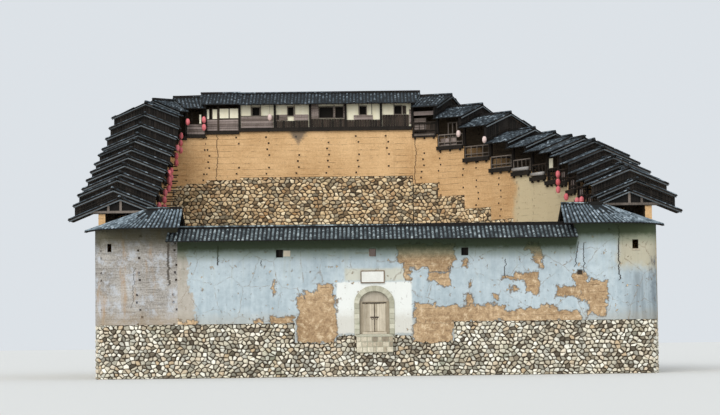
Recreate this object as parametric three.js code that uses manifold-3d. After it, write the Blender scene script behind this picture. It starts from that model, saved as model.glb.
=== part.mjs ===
// An earthen fort on a hillside: a ring of thick walls, rubble stone below and rammed earth above, with a
// timber gallery under tiled roofs on top of the ring. The side galleries climb the slope bay by bay.
// All sizes are real ones in metres. The whole model is then scaled to half size, in millimetres.
// X runs to the right along the front, Y runs up the slope to the rear, Z is up.
import * as THREE from "three";
import { mergeVertices } from "three/addons/utils/BufferGeometryUtils.js";
import Module from "manifold-3d";

const wasm = await Module();
wasm.setup();

const modelScale = 1 / 2;
const millimetresPerMetre = 1000 * modelScale;
const joint = 0.0008; // clearance between touching pieces

// The ring's cross-section, measured across from the ridge line, outwards positive.
const outerFace = 0.85;
const innerFace = -2.15;
const upperWallThickness = 0.5;
const outerEave = 3.05;
const innerEave = -3.0;
const roofFall = 0.41; // drop of a roof slope in a metre
const roofThickness = 0.22;
const roofOverhang = 0.4; // how far a higher roof passes over the lower one
const capHalf = 0.14; // ridge cap, half its width
const capHeight = 0.09;
const capSideRoom = 0.075;
const firstCrest = -0.8; // the ridge of the lowest roof on each side stands nearer the courtyard
const earthHeight = 4.2; // rammed earth between the rubble and the gallery floor
const deckThickness = 0.1;
const deckEdge = -2.4;
const postSize = 0.2;
const postFace = -2.1;
const edgeBeamDrop = 0.22; // the edge beam's foot under the floor
const plateDepth = 0.18;
const railHeight = 0.95;
const railThickness = 0.09;
const railInset = 0.03;
const lowRail = { foot: 0.3, top: 0.38 };
const stepRise = 0.28; // ridges this far apart make a step between two roofs
const linkInset = 0.05; // what joins two bays at a step lies this far inside their faces
const linkReach = 0.06;
const trim = 0.01; // joined pieces stop a little short of one another's faces
const riserThickness = 0.12;
const riserInset = 0.15; // from the eave to the riser's end
const riserBite = 0.03; // how far a riser or gable reaches into the roof over it
const riserClearance = 0.03; // under a riser that stands over another side's roof
const gableReach = 2.1;
const gableHeight = 1.25; // from the foot of the lowest gable to the ridge

// Left side: one bay every 2.5 m up the slope, then the tight rear corner.
const sideRidgeX = 19.35;
const frontDepth = 3.0;
const leftBayLength = 2.5;
const leftRidges = [13.25, 14.1, 15.05, 15.7, 16.55, 17.4, 18.25, 19.2, 19.9, 21.0, 22.15, 23.35];
const leftStorey = 3.35; // gallery floor to ridge
const rearRidgeY = 34.0;
const rearLeftRidges = [23.8, 24.12, 24.45];
const rearLeftFloors = [20.3, 20.5, 20.8];
const rearLeftX = -11.5;
const rearRightX = 3.9;
const rearRidge = 24.4;
const rearFloor = 21.0;
const rearBays = 5;

// Right side: the bays swing forward in a long sweep and step down to the front.
const sweepPoints = [
  [6.7, 33.0], [9.3, 31.0], [11.6, 28.6], [13.45, 26.2], [14.95, 23.8], [16.1, 21.5], [16.95, 19.4],
];
const sweepRidges = [24.0, 22.9, 21.9, 20.3, 19.7, 19.15, 18.85];
const sweepFloors = [20.3, 19.1, 17.9, 16.8, 16.3, 15.7, 15.2];
const rightPoints = [
  [17.55, 17.2], [18.05, 15.0], [18.5, 12.6], [18.85, 10.2], [19.15, 7.8],
  [sideRidgeX, 5.4], [sideRidgeX, frontDepth],
];
const rightRidges = [18.4, 17.6, 16.7, 15.9, 15.4, 14.35, 13.4];
const rightStorey = 3.45;

// Front side.
const wallX = sideRidgeX + outerFace; // outer face of the side walls
const cornerX = 14.2; // where the corner rooms begin
const frontPlinthTop = 3.85;
const frontFloor = 7.6;
const frontRidge = 10.85;
const frontRidgeY = outerFace;
const frontEave = 2.55; // from ridge to front eave, in plan
const frontBays = 10;
const frontBay = { ridge: frontRidge, floor: frontFloor };
const cornerFloor = 8.5;
const cornerRidge = 12.25;
const cornerEaveLevel = 10.78;
const cornerEaveY = -1.6;
const cornerApexX = 16.4;
const cornerRounding = 1.1; // radius of the wall's outer corner
const deckReach = 0.2; // how far a corner room's deck passes the wall behind it
const gableSetback = 0.04;
const gableThickness = 0.12;
const gableFrontY = 0.55;
const gableBackInset = 0.25;
const tieLevel = 10.45;
const tieDepth = 0.2;
const windowWidth = 0.5;
const windowHeight = 0.56;
const frontWindows = [[-6.9, 8.83], [-0.25, 8.83], [6.35, 8.83]];

// The two corners differ: where the roof's gable and eave end, how far the front eave laps under it,
// and the window.
const leftCorner = {
  side: -1, name: "left", roofEndX: 13.9, eaveX: 21.2, frontLap: 0.7,
  window: { x: -19.05, z: 9.38, width: 0.29, height: 0.59 },
};
const rightCorner = {
  side: 1, name: "right", roofEndX: 13.35, eaveX: 21.05, frontLap: 0.12,
  window: { x: 18.55, z: 9.22, width: 0.43, height: 0.65 },
};

// Gate.
const gateX = -0.16;
const sillTop = 3.0;
const springing = 5.2;
const archOuter = { half: 1.435, rise: 1.26 };
const archInner = { half: 1.065, rise: 0.86 };
const archFront = -0.08;
const archBack = 0.46;
const frameFront = 0.2;
const frameBack = 0.4;
const doorHalf = 0.76;
const frameSill = 0.16;
const lintelDepth = 0.14;
const leafThickness = 0.07;
const leafY = 0.3; // middle of the leaves' thickness
const leafSideGap = 0.03;
const leafEndGap = 0.014;
const leafPivotInset = 0.05;
const pivotRadius = 0.03;
const step = { half: 1.3, front: -0.25, back: 0.1, foot: 1.7, top: 2.84 };
const tympanumInset = 0.05;
const leafMeeting = 0.006;
const boardX = gateX - 0.1;
const boardWidth = 1.65;
const boardHeight = 0.86;
const boardBottom = 6.66;
const boardThickness = 0.1;
const boardRim = 0.09;
const boardRecess = 0.03;

// Rear panelling: [middle X, bottom above the floor, width, height] of each window.
const panelWindows = [
  [-10.06, 1.2, 0.6, 0.72], [-7.05, 1.2, 0.45, 0.72], [-3.95, 0.95, 1.2, 0.95],
  [-2.82, 0.95, 0.66, 0.95], [-0.75, 1.2, 0.55, 0.72], [2.3, 1.2, 0.6, 0.72],
];
const panelThickness = 0.08;
const panelTopGap = 0.03;
const panelLeftGap = 0.02;
const panelRightGap = 0.45; // the end bay narrows inwards

const stone = new THREE.MeshStandardMaterial({ color: 0xb4a88f, roughness: 0.95, metalness: 0 });
const earth = new THREE.MeshStandardMaterial({ color: 0xcfa46a, roughness: 0.95, metalness: 0 });
const plaster = new THREE.MeshStandardMaterial({ color: 0xccd6dc, roughness: 0.9, metalness: 0 });
const tile = new THREE.MeshStandardMaterial({ color: 0x3c4247, roughness: 0.8, metalness: 0 });
const timber = new THREE.MeshStandardMaterial({ color: 0x4a3c33, roughness: 0.85, metalness: 0 });
const panel = new THREE.MeshStandardMaterial({ color: 0xd8d2ac, roughness: 0.9, metalness: 0 });
const archStone = new THREE.MeshStandardMaterial({ color: 0xacb09c, roughness: 0.85, metalness: 0 });
const door = new THREE.MeshStandardMaterial({ color: 0xb5a894, roughness: 0.8, metalness: 0 });

const fort = new THREE.Group();
fort.scale.setScalar(millimetresPerMetre);

function solidFrom(geometry) {
  const bare = geometry.index ? geometry.toNonIndexed() : geometry.clone();
  bare.deleteAttribute("normal");
  bare.deleteAttribute("uv");
  const merged = mergeVertices(bare, 1e-5);
  return new wasm.Manifold(
    new wasm.Mesh({
      numProp: 3,
      vertProperties: merged.attributes.position.array,
      triVerts: new Uint32Array(merged.index.array),
    }),
  );
}

function geometryFrom(solid) {
  const mesh = solid.asOriginal().getMesh();
  const geometry = new THREE.BufferGeometry();
  geometry.setAttribute("position", new THREE.BufferAttribute(new Float32Array(mesh.vertProperties), 3));
  geometry.setIndex(new THREE.BufferAttribute(new Uint32Array(mesh.triVerts), 1));
  const faceted = geometry.toNonIndexed();
  faceted.computeVertexNormals();
  return faceted;
}

function joined(geometries) {
  return geometries.map(solidFrom).reduce((whole, piece) => whole.add(piece));
}

function addNode(name, solid, material) {
  const geometry = solid.isBufferGeometry ? solid : geometryFrom(solid);
  const mesh = new THREE.Mesh(geometry, material);
  mesh.name = name;
  fort.add(mesh);
}

function box(x0, x1, y0, y1, z0, z1) {
  const body = new THREE.BoxGeometry(x1 - x0, y1 - y0, z1 - z0);
  body.translate((x0 + x1) / 2, (y0 + y1) / 2, (z0 + z1) / 2);
  return body;
}

// An outline in the X-Z plane, pushed along Y from y0 to y1.
function upright(shape, y0, y1) {
  const body = new THREE.ExtrudeGeometry(shape, { depth: y1 - y0, bevelEnabled: false, curveSegments: 14 });
  body.rotateX(Math.PI / 2);
  body.translate(0, y1, 0);
  return body;
}

// An outline in plan, raised from z0 to z1.
function raised(shape, z0, z1) {
  const body = new THREE.ExtrudeGeometry(shape, { depth: z1 - z0, bevelEnabled: false, curveSegments: 8 });
  body.translate(0, 0, z0);
  return body;
}

// A closed slab under a folded top surface: given points, its triangles, and a thickness measured down.
function slab(points, triangles, thickness) {
  const corners = [];
  const put = (point, drop) => corners.push(point[0], point[1], point[2] - drop);
  const open = new Map();
  for (const [a, b, c] of triangles) {
    [a, b, c].forEach((i) => put(points[i], 0));
    [c, b, a].forEach((i) => put(points[i], thickness));
    for (const [from, to] of [[a, b], [b, c], [c, a]]) {
      if (!open.delete(to + "-" + from)) open.set(from + "-" + to, [from, to]);
    }
  }
  for (const [from, to] of open.values()) {
    put(points[from], 0);
    put(points[from], thickness);
    put(points[to], thickness);
    put(points[from], 0);
    put(points[to], thickness);
    put(points[to], 0);
  }
  const body = new THREE.BufferGeometry();
  body.setAttribute("position", new THREE.BufferAttribute(new Float32Array(corners), 3));
  return body;
}

// Stations along the ring's ridge line, each with the direction in which its two neighbours meet.
function stationsAlong(points) {
  const places = points.map(([x, y]) => new THREE.Vector2(x, y));
  const outward = (a, b) => {
    const along = b.clone().sub(a).normalize();
    return new THREE.Vector2(-along.y, along.x);
  };
  return places.map((place, i) => {
    const before = outward(places[Math.max(i - 1, 0)], places[Math.max(i, 1)]);
    const after = outward(places[Math.min(i, places.length - 2)], places[Math.min(i + 1, places.length - 1)]);
    const mitre = before.clone().add(after).divideScalar(1 + before.dot(after));
    return { place, mitre };
  });
}

// A straight run of one cross-section between two stations. Each shift moves that end along the run.
function run(from, to, section, startShift = 0, endShift = 0) {
  const shape = new THREE.Shape(section.map(([across, level]) => new THREE.Vector2(across, level)));
  const body = new THREE.ExtrudeGeometry(shape, { depth: 1, bevelEnabled: false });
  const along = to.place.clone().sub(from.place).normalize();
  const position = body.attributes.position;
  for (let i = 0; i < position.count; i++) {
    const atEnd = position.getZ(i) > 0.5;
    const station = atEnd ? to : from;
    const shift = atEnd ? endShift : startShift;
    const across = position.getX(i);
    const x = station.place.x + across * station.mitre.x + shift * along.x;
    const y = station.place.y + across * station.mitre.y + shift * along.y;
    position.setXYZ(i, x, y, position.getY(i));
  }
  return body;
}

// A short run that starts and ends at the same station, for posts and risers.
function shortRun(station, toward, section, start, end) {
  const along = toward.place.clone().sub(station.place).normalize();
  const ends = [start, end].map((shift) => ({
    place: station.place.clone().addScaledVector(along, shift),
    mitre: station.mitre,
  }));
  const backwards = along.x * station.mitre.y - along.y * station.mitre.x < 0;
  if (backwards) ends.reverse();
  return run(ends[0], ends[1], section);
}

function rectangle(across0, across1, level0, level1) {
  return [[across0, level0], [across1, level0], [across1, level1], [across0, level1]];
}

// A bay has a floor, a ridge and, where the ridge isn't over the ridge line, the crest's place across.
const crestOf = (bay) => bay.crest ?? 0;
const roofTop = (bay, across) => bay.ridge - roofFall * Math.abs(across - crestOf(bay));
const roofUnder = (bay, across) => roofTop(bay, across) - roofThickness;

// The top of a roof with its ridge cap, from the outer to the inner end, lifted by a clearance.
// Where the ring turns, a cap that runs in under the next roof needs room on both sides too.
function roofOutline(bay, outer, inner, clear = 0) {
  const crest = crestOf(bay);
  const capTop = bay.ridge + capHeight + clear;
  const sideways = clear > 0 ? capSideRoom : 0;
  const wide = capHalf + sideways;
  const narrow = capHalf / 2 + sideways;
  const top = (across) => [across, roofTop(bay, across) + clear];
  return [
    top(outer), top(crest + wide), [crest + narrow, capTop],
    [crest - narrow, capTop], top(crest - wide), top(inner),
  ];
}

function roofSection(bay, outer, inner) {
  const underside = [inner, crestOf(bay), outer].map((across) => [across, roofUnder(bay, across)]);
  return [...roofOutline(bay, outer, inner), ...underside];
}

// The Λ-shaped board between a lower roof and the higher roof that passes over it.
function riserSection(lowBay, highBay, foot) {
  const reachOut = outerEave - riserInset;
  const reachIn = innerEave + riserInset;
  const underHigh = (across) => [across, roofUnder(highBay, across) + riserBite];
  const high = [reachIn, crestOf(highBay), reachOut].map(underHigh);
  return [...roofOutline(lowBay, reachOut, reachIn, foot), ...high];
}

// The boarded gable at the low end of a side gallery, over the corner room's roof.
function gableSection(bay) {
  const crest = crestOf(bay);
  const foot = bay.ridge - gableHeight;
  const shoulder = roofUnder(bay, crest + gableReach) + riserBite;
  const top = bay.ridge - roofThickness + riserBite;
  return [
    [crest + gableReach, foot], [crest + gableReach, shoulder], [crest, top],
    [crest - gableReach, shoulder], [crest - gableReach, foot],
  ];
}

// The outer part of a gallery storey: earth wall from floor to roof.
function upperWallSection(bay) {
  const inside = outerFace - upperWallThickness;
  const top = (across) => roofUnder(bay, across) - joint;
  const foot = bay.floor + joint;
  return [[inside, foot], [outerFace, foot], [outerFace, top(outerFace)], [inside, top(inside)]];
}

function bayParts(bay, from, to, startShift, endShift, rails, divisions) {
  const deck = bay.floor + joint;
  const deckTop = deck + deckThickness;
  const postBack = postFace + postSize;
  const plateTop = roofUnder(bay, postFace) - joint;
  const deckBack = outerFace - upperWallThickness - joint;
  const span = from.place.distanceTo(to.place);
  const long = (section, back = 0) => run(from, to, section, startShift + back, endShift - back);
  const parts = [
    long(rectangle(deckEdge, deckBack, deck, deckTop)),
    long(rectangle(deckEdge + trim, innerFace - joint, bay.floor - edgeBeamDrop, deckTop - trim), trim),
    long(rectangle(postFace + trim, postBack - trim, plateTop - plateDepth, plateTop)),
  ];
  if (rails) {
    const railFace = postFace + railInset;
    const railBack = railFace + railThickness;
    const railFoot = deck + railHeight;
    parts.push(long(rectangle(railFace, railBack, railFoot, railFoot + railThickness), trim));
    parts.push(long(rectangle(railFace, railBack, deck + lowRail.foot, deck + lowRail.top), trim));
  }
  const post = rectangle(postFace, postBack, deckTop - 2 * trim, plateTop - 2 * trim);
  parts.push(shortRun(from, to, post, startShift + trim / 2, startShift + postSize / 2));
  parts.push(shortRun(to, from, post, -endShift + trim / 2, -endShift + postSize / 2));
  for (let i = 1; i < divisions; i++) {
    const middle = startShift + ((span - startShift + endShift) * i) / divisions;
    parts.push(shortRun(from, to, post, middle - postSize / 2, middle + postSize / 2));
  }
  return parts;
}

const steps = (a, b) => Math.abs(a.ridge - b.ridge) >= stepRise;

// One side of the ring: plinth, wall, upper wall, gallery frame and stepped roof.
function addSide(name, stations, bays, before, after, options = {}) {
  const plinth = [];
  const wall = [];
  const upperWall = [];
  const frame = [];
  const roof = [];
  const last = bays.length - 1;
  bays.forEach((bay, i) => {
    const from = stations[i];
    const to = stations[i + 1];
    const start = i === 0 ? joint : 0;
    const end = i === last && after.corner ? -joint : 0;
    const earthFoot = bay.floor - earthHeight;
    plinth.push(run(from, to, rectangle(innerFace, outerFace, 0, earthFoot), start, end));
    wall.push(run(from, to, rectangle(innerFace, outerFace, earthFoot + joint, bay.floor), start, end));

    upperWall.push(run(from, to, upperWallSection(bay), joint, -joint));
    frame.push(...bayParts(bay, from, to, joint, -joint, options.rails, options.divisions));
    if (i < last) {
      const next = bays[i + 1];
      const floor = Math.max(bay.floor, next.floor);
      const head = Math.min(roofUnder(bay, postFace), roofUnder(next, postFace)) - plateDepth - 2 * trim;
      const wallFoot = floor + linkInset;
      const wallInside = outerFace - upperWallThickness + linkInset;
      const wallLink = rectangle(wallInside, outerFace - linkInset, wallFoot, head);
      const postInside = postFace + postSize - linkInset;
      const postLink = rectangle(postFace + linkInset, postInside, wallFoot + deckThickness, head);
      upperWall.push(shortRun(to, stations[i + 2], wallLink, -linkReach, linkReach));
      frame.push(shortRun(to, stations[i + 2], postLink, trim - linkReach, linkReach - trim));
    }

    const neighbours = [i === 0 ? before : bays[i - 1], i === last ? after : bays[i + 1]];
    const isOver = (other) => steps(bay, other) && bay.ridge > other.ridge;
    const shifts = neighbours.map((other) => (isOver(other) ? roofOverhang : -joint));
    const section = roofSection(bay, outerEave, innerEave);
    roof.push(run(from, to, section, -shifts[0], shifts[1]));
    neighbours.forEach((other, side) => {
      if (!isOver(other)) return;
      const near = side === 0 ? from : to;
      const far = side === 0 ? to : from;
      const outside = (side === 0 && i === 0) || (side === 1 && i === last);
      const foot = outside ? riserClearance : -riserBite;
      const board = other.corner ? gableSection(bay) : riserSection(other, bay, foot);
      roof.push(shortRun(near, far, board, -riserThickness, -joint));
    });
  });
  addNode(name + "_plinth", joined(plinth), stone);
  addNode(name + "_wall", joined(wall), earth);
  addNode(name + "_upper_wall", joined(upperWall), earth);
  addNode(name + "_gallery_frame", joined(frame), timber);
  addNode(name + "_roof", joined(roof), tile);
}

const leftPoints = leftRidges.map((_, i) => [-sideRidgeX, frontDepth + leftBayLength * i]);
leftPoints.push([-18.7, 32.3]);
const rearLeftPoints = [[-17.0, 33.6], [-14.6, rearRidgeY], [rearLeftX, rearRidgeY]];
const rearPoint = [rearRightX, rearRidgeY];
const ring = stationsAlong([...leftPoints, ...rearLeftPoints, rearPoint, ...sweepPoints, ...rightPoints]);

const cornerRoom = { ridge: cornerRidge, floor: cornerFloor, corner: true };
const leftBays = leftRidges.map((ridge) => ({ ridge, floor: ridge - leftStorey }));
leftBays[0].crest = firstCrest;
const rearLeftBays = rearLeftRidges.map((ridge, i) => ({ ridge, floor: rearLeftFloors[i] }));
const rearBay = { ridge: rearRidge, floor: rearFloor };
const sweepBays = sweepRidges.map((ridge, i) => ({ ridge, floor: sweepFloors[i] }));
const rightBays = rightRidges.map((ridge) => ({ ridge, floor: ridge - rightStorey }));
rightBays.at(-1).crest = firstCrest;

let first = 0;
function takeStations(count) {
  const taken = ring.slice(first, first + count + 1);
  first += count;
  return taken;
}

const leftStations = takeStations(leftBays.length);
addSide("left", leftStations, leftBays, cornerRoom, rearLeftBays[0], { rails: true, divisions: 1 });
const rearLeftStations = takeStations(rearLeftBays.length);
addSide("rear_left", rearLeftStations, rearLeftBays, leftBays.at(-1), rearBay, { divisions: 1 });
const rearStations = takeStations(1);
addSide("rear", rearStations, [rearBay], rearLeftBays.at(-1), sweepBays[0], { divisions: rearBays });
const sweepStations = takeStations(sweepBays.length);
addSide("rear_right", sweepStations, sweepBays, rearBay, rightBays[0], { rails: true, divisions: 1 });
const rightStations = takeStations(rightBays.length);
addSide("right", rightStations, rightBays, sweepBays.at(-1), cornerRoom, { rails: true, divisions: 1 });

// Panelling with windows behind the rear gallery's posts.
function addRearPanelling() {
  const y1 = rearRidgeY + postFace + postSize + joint + panelThickness;
  const bottom = rearFloor + joint + deckThickness + joint;
  const top = roofUnder(rearBay, postFace) - panelTopGap;
  const left = rearLeftX + panelLeftGap;
  const right = rearRightX - panelRightGap;
  let boards = solidFrom(box(left, right, y1 - panelThickness, y1, bottom, top));
  for (const [x, sill, width, height] of panelWindows) {
    const low = rearFloor + sill;
    const hole = box(x - width / 2, x + width / 2, y1 - 0.5, y1 + 0.5, low, low + height);
    boards = boards.subtract(solidFrom(hole));
  }
  addNode("rear_gallery_panelling", boards, panel);
}
addRearPanelling();

// Front wall between the corner rooms, beside and over the gate.
const gateLeft = gateX - archOuter.half - joint;
const gateRight = gateX + archOuter.half + joint;
const passageLeft = gateX - archInner.half;
const passageRight = gateX + archInner.half;

function besideGate(side, z0, z1) {
  const shape = new THREE.Shape();
  const outerX = side < 0 ? -cornerX + joint : cornerX - joint;
  const archX = side < 0 ? gateLeft : gateRight;
  const passageX = side < 0 ? passageLeft : passageRight;
  shape.moveTo(outerX, 0);
  shape.lineTo(archX, 0);
  shape.lineTo(archX, archBack + joint);
  shape.lineTo(passageX, archBack + joint);
  shape.lineTo(passageX, frontDepth);
  shape.lineTo(outerX, frontDepth);
  return raised(shape, z0, z1);
}

function archOutline(arch, bottom, grow = 0) {
  const half = arch.half + grow;
  const shape = new THREE.Shape();
  shape.moveTo(gateX + half, bottom);
  shape.lineTo(gateX + half, springing);
  shape.absellipse(gateX, springing, half, arch.rise + grow, 0, Math.PI, false);
  shape.lineTo(gateX - half, bottom);
  return shape;
}

function addFrontWall() {
  addNode("front_plinth_left", besideGate(-1, 0, frontPlinthTop), stone);
  addNode("front_plinth_right", besideGate(1, 0, frontPlinthTop), stone);
  addNode("front_wall_left", besideGate(-1, frontPlinthTop + joint, frontFloor), plaster);
  addNode("front_wall_right", besideGate(1, frontPlinthTop + joint, frontFloor), plaster);

  const gateSides = [gateLeft + 2 * joint, gateRight - 2 * joint];
  const block = solidFrom(box(...gateSides, 0, frontDepth, springing, frontFloor));
  const archHole = solidFrom(upright(archOutline(archOuter, springing - 0.2, joint), -1, archBack + joint));
  const passage = solidFrom(upright(archOutline(archInner, springing - 0.2), -1, frontDepth + 1));
  const rear = archBack - joint;
  const besideLeft = box(gateLeft - 1, passageLeft + joint, rear, 4, 0, frontFloor + 1);
  const besideRight = box(passageRight - joint, gateRight + 1, rear, 4, 0, frontFloor + 1);
  const over = block.subtract(archHole).subtract(passage).subtract(joined([besideLeft, besideRight]));
  addNode("front_wall_over_gate", over, plaster);
}
addFrontWall();

function windowHole({ x, z, width, height }) {
  return solidFrom(box(x - width / 2, x + width / 2, -1, 2, z - height / 2, z + height / 2));
}

function addFrontUpperWall() {
  let wall = solidFrom(frontRun(upperWallSection(frontBay), -cornerX + joint, cornerX - joint));
  for (const [x, z] of frontWindows) {
    wall = wall.subtract(windowHole({ x, z, width: windowWidth, height: windowHeight }));
  }
  addNode("front_upper_wall", wall, plaster);
}

// A run along the front: the ridge line there is straight, and outwards is towards the viewer.
function frontRun(section, x0, x1) {
  const mitre = new THREE.Vector2(0, -1);
  const from = { place: new THREE.Vector2(x1, frontRidgeY), mitre };
  const to = { place: new THREE.Vector2(x0, frontRidgeY), mitre };
  return run(from, to, section);
}
addFrontUpperWall();

function addFrontGallery() {
  const mitre = new THREE.Vector2(0, -1);
  const from = { place: new THREE.Vector2(cornerX, frontRidgeY), mitre };
  const to = { place: new THREE.Vector2(-cornerX, frontRidgeY), mitre };
  const frame = bayParts(frontBay, from, to, joint, -joint, true, frontBays);
  addNode("front_gallery_frame", joined(frame), timber);

  const whole = frontRun(roofSection(frontBay, frontEave, innerEave), -cornerX + joint, cornerX - joint);
  const clear = outerFace + 0.002;
  const slope = [
    [frontEave, roofTop(frontBay, frontEave)], [clear, roofTop(frontBay, clear)],
    [clear, roofUnder(frontBay, clear)], [frontEave, roofUnder(frontBay, frontEave)],
  ];
  const lapped = frontRun(slope, -cornerX - leftCorner.frontLap, cornerX + rightCorner.frontLap);
  addNode("front_roof", joined([whole, lapped]), tile);
}
addFrontGallery();

// Corner rooms: plan outline with a rounded outer corner. side is -1 on the left and 1 on the right.
function cornerPlan(side, inset = 0, inner = cornerX) {
  const shape = new THREE.Shape();
  const outside = wallX - inset;
  const radius = cornerRounding - inset;
  const x = (distance) => side * distance;
  shape.moveTo(x(inner), inset);
  shape.lineTo(x(outside - radius), inset);
  const centreX = x(outside - radius);
  const centreY = inset + radius;
  const turn = side < 0 ? [1.5 * Math.PI, Math.PI, true] : [1.5 * Math.PI, 2 * Math.PI, false];
  shape.absarc(centreX, centreY, radius, ...turn);
  shape.lineTo(x(outside), frontDepth);
  shape.lineTo(x(inner), frontDepth);
  return shape;
}

// The corner roof: a straight ridge with a gable towards the gate, fanning out round the corner.
function cornerRoofSurface({ side, roofEndX, eaveX }) {
  const fanSteps = 10;
  const x = (distance) => side * distance;
  const apex = [x(cornerApexX), frontRidgeY, cornerRidge];
  const ridgeEnd = [x(roofEndX), frontRidgeY, cornerRidge];
  const eaves = [[x(roofEndX), cornerEaveY, cornerEaveLevel]];
  const backY = frontDepth - 0.004;
  for (let i = 0; i <= fanSteps; i++) {
    const turn = (i / fanSteps) * (Math.PI / 2);
    const reachX = cornerApexX + (eaveX - cornerApexX) * Math.sin(turn);
    const reachY = backY - (backY - cornerEaveY) * Math.cos(turn);
    eaves.push([x(reachX), reachY, cornerEaveLevel]);
  }
  const shoulderX = sideRidgeX + innerFace - 0.06;
  const backLevel = (y) => cornerRidge - roofFall * (y - frontRidgeY);
  const innerY = frontRidgeY - innerEave;
  const back = [
    [x(shoulderX), backY, backLevel(backY)], [x(shoulderX), innerY, backLevel(innerY)],
    [x(roofEndX), innerY, backLevel(innerY)],
  ];
  const points = [apex, ridgeEnd, ...eaves, ...back];
  const lastEave = 2 + eaves.length - 1;
  const triangles = [[0, 2, 1]];
  for (let i = 2; i < lastEave; i++) triangles.push([0, i + 1, i]);
  triangles.push([0, lastEave + 1, lastEave]);
  triangles.push([0, lastEave + 2, lastEave + 1]);
  triangles.push([0, lastEave + 3, lastEave + 2]);
  triangles.push([0, 1, lastEave + 3]);
  return { points, triangles: side < 0 ? triangles : triangles.map(([a, b, c]) => [a, c, b]) };
}

function addCorner(corner) {
  const { side, name, roofEndX, window: slot } = corner;
  addNode("corner_plinth_" + name, raised(cornerPlan(side), 0, frontPlinthTop), stone);
  addNode("corner_wall_" + name, raised(cornerPlan(side), frontPlinthTop + joint, cornerFloor), earth);

  const { points, triangles } = cornerRoofSurface(corner);
  const slopes = solidFrom(slab(points, triangles, roofThickness));
  const capFoot = cornerRidge - roofThickness / 2;
  const cap = [
    [capHalf, capFoot], [capHalf / 2, cornerRidge + capHeight],
    [-capHalf / 2, cornerRidge + capHeight], [-capHalf, capFoot],
  ];
  const capEnds = [side * (roofEndX + 0.01), side * cornerApexX].sort((a, b) => a - b);
  addNode("corner_roof_" + name, slopes.add(solidFrom(frontRun(cap, ...capEnds))), tile);

  // The thin upper wall stands between the floor and the roof, open to the courtyard side.
  const shellFoot = cornerFloor + joint;
  const shell = solidFrom(raised(cornerPlan(side), shellFoot, cornerRidge));
  const room = solidFrom(raised(cornerPlan(side, upperWallThickness, 0), shellFoot - 1, cornerRidge + 1));
  const roomX = side * (wallX - upperWallThickness);
  const behind = box(Math.min(roomX, 0), Math.max(roomX, 0), 0.7, 9, 0, 20);
  const cover = solidFrom(slab(points, triangles, 5)).translate([0, 0, 5 - roofThickness - joint]);
  const edge = solidFrom(box(-wallX - 1, wallX + 1, frontDepth - 0.006, 9, 0, 20));
  const wallTop = shell.subtract(room).subtract(solidFrom(behind)).subtract(edge).subtract(cover);
  addNode("corner_upper_wall_" + name, wallTop.subtract(windowHole(slot)), earth);
  addCornerFrame(side, name, cover);
}

// Timber frame of a corner room: deck, posts, tie beam and a gable over the front roof's end.
function addCornerFrame(side, name, cover) {
  const across = (near, far, ...rest) => (side < 0 ? box(-far, -near, ...rest) : box(near, far, ...rest));
  const deck = cornerFloor + joint;
  const deckTop = deck + deckThickness;
  const deckFar = sideRidgeX + innerFace - 2 * trim;
  const gableNear = cornerX + gableSetback;
  const gableFar = gableNear + gableThickness;
  const postFar = deckFar - 2 * trim;
  const backY = frontDepth - gableBackInset;
  const backEnd = backY + postSize;
  const postFoot = deckTop - 2 * trim;
  const cornerFrame = joined([
    across(cornerX, deckFar, upperWallThickness + joint, frontDepth + deckReach, deck, deckTop),
    across(gableNear, gableFar, gableFrontY, gableFrontY + postSize, postFoot, cornerRidge),
    across(gableNear, gableFar, backY, backEnd, postFoot, cornerRidge),
    across(postFar - postSize, postFar, backY, backEnd, postFoot, cornerRidge),
    across(gableNear, gableFar, gableFrontY, backEnd, tieLevel, cornerRidge),
    across(gableNear + trim, postFar - trim, backY, backEnd, tieLevel, tieLevel + tieDepth),
  ]);
  addNode("corner_frame_" + name, cornerFrame.subtract(cover), timber);
}
addCorner(leftCorner);
addCorner(rightCorner);

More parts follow.
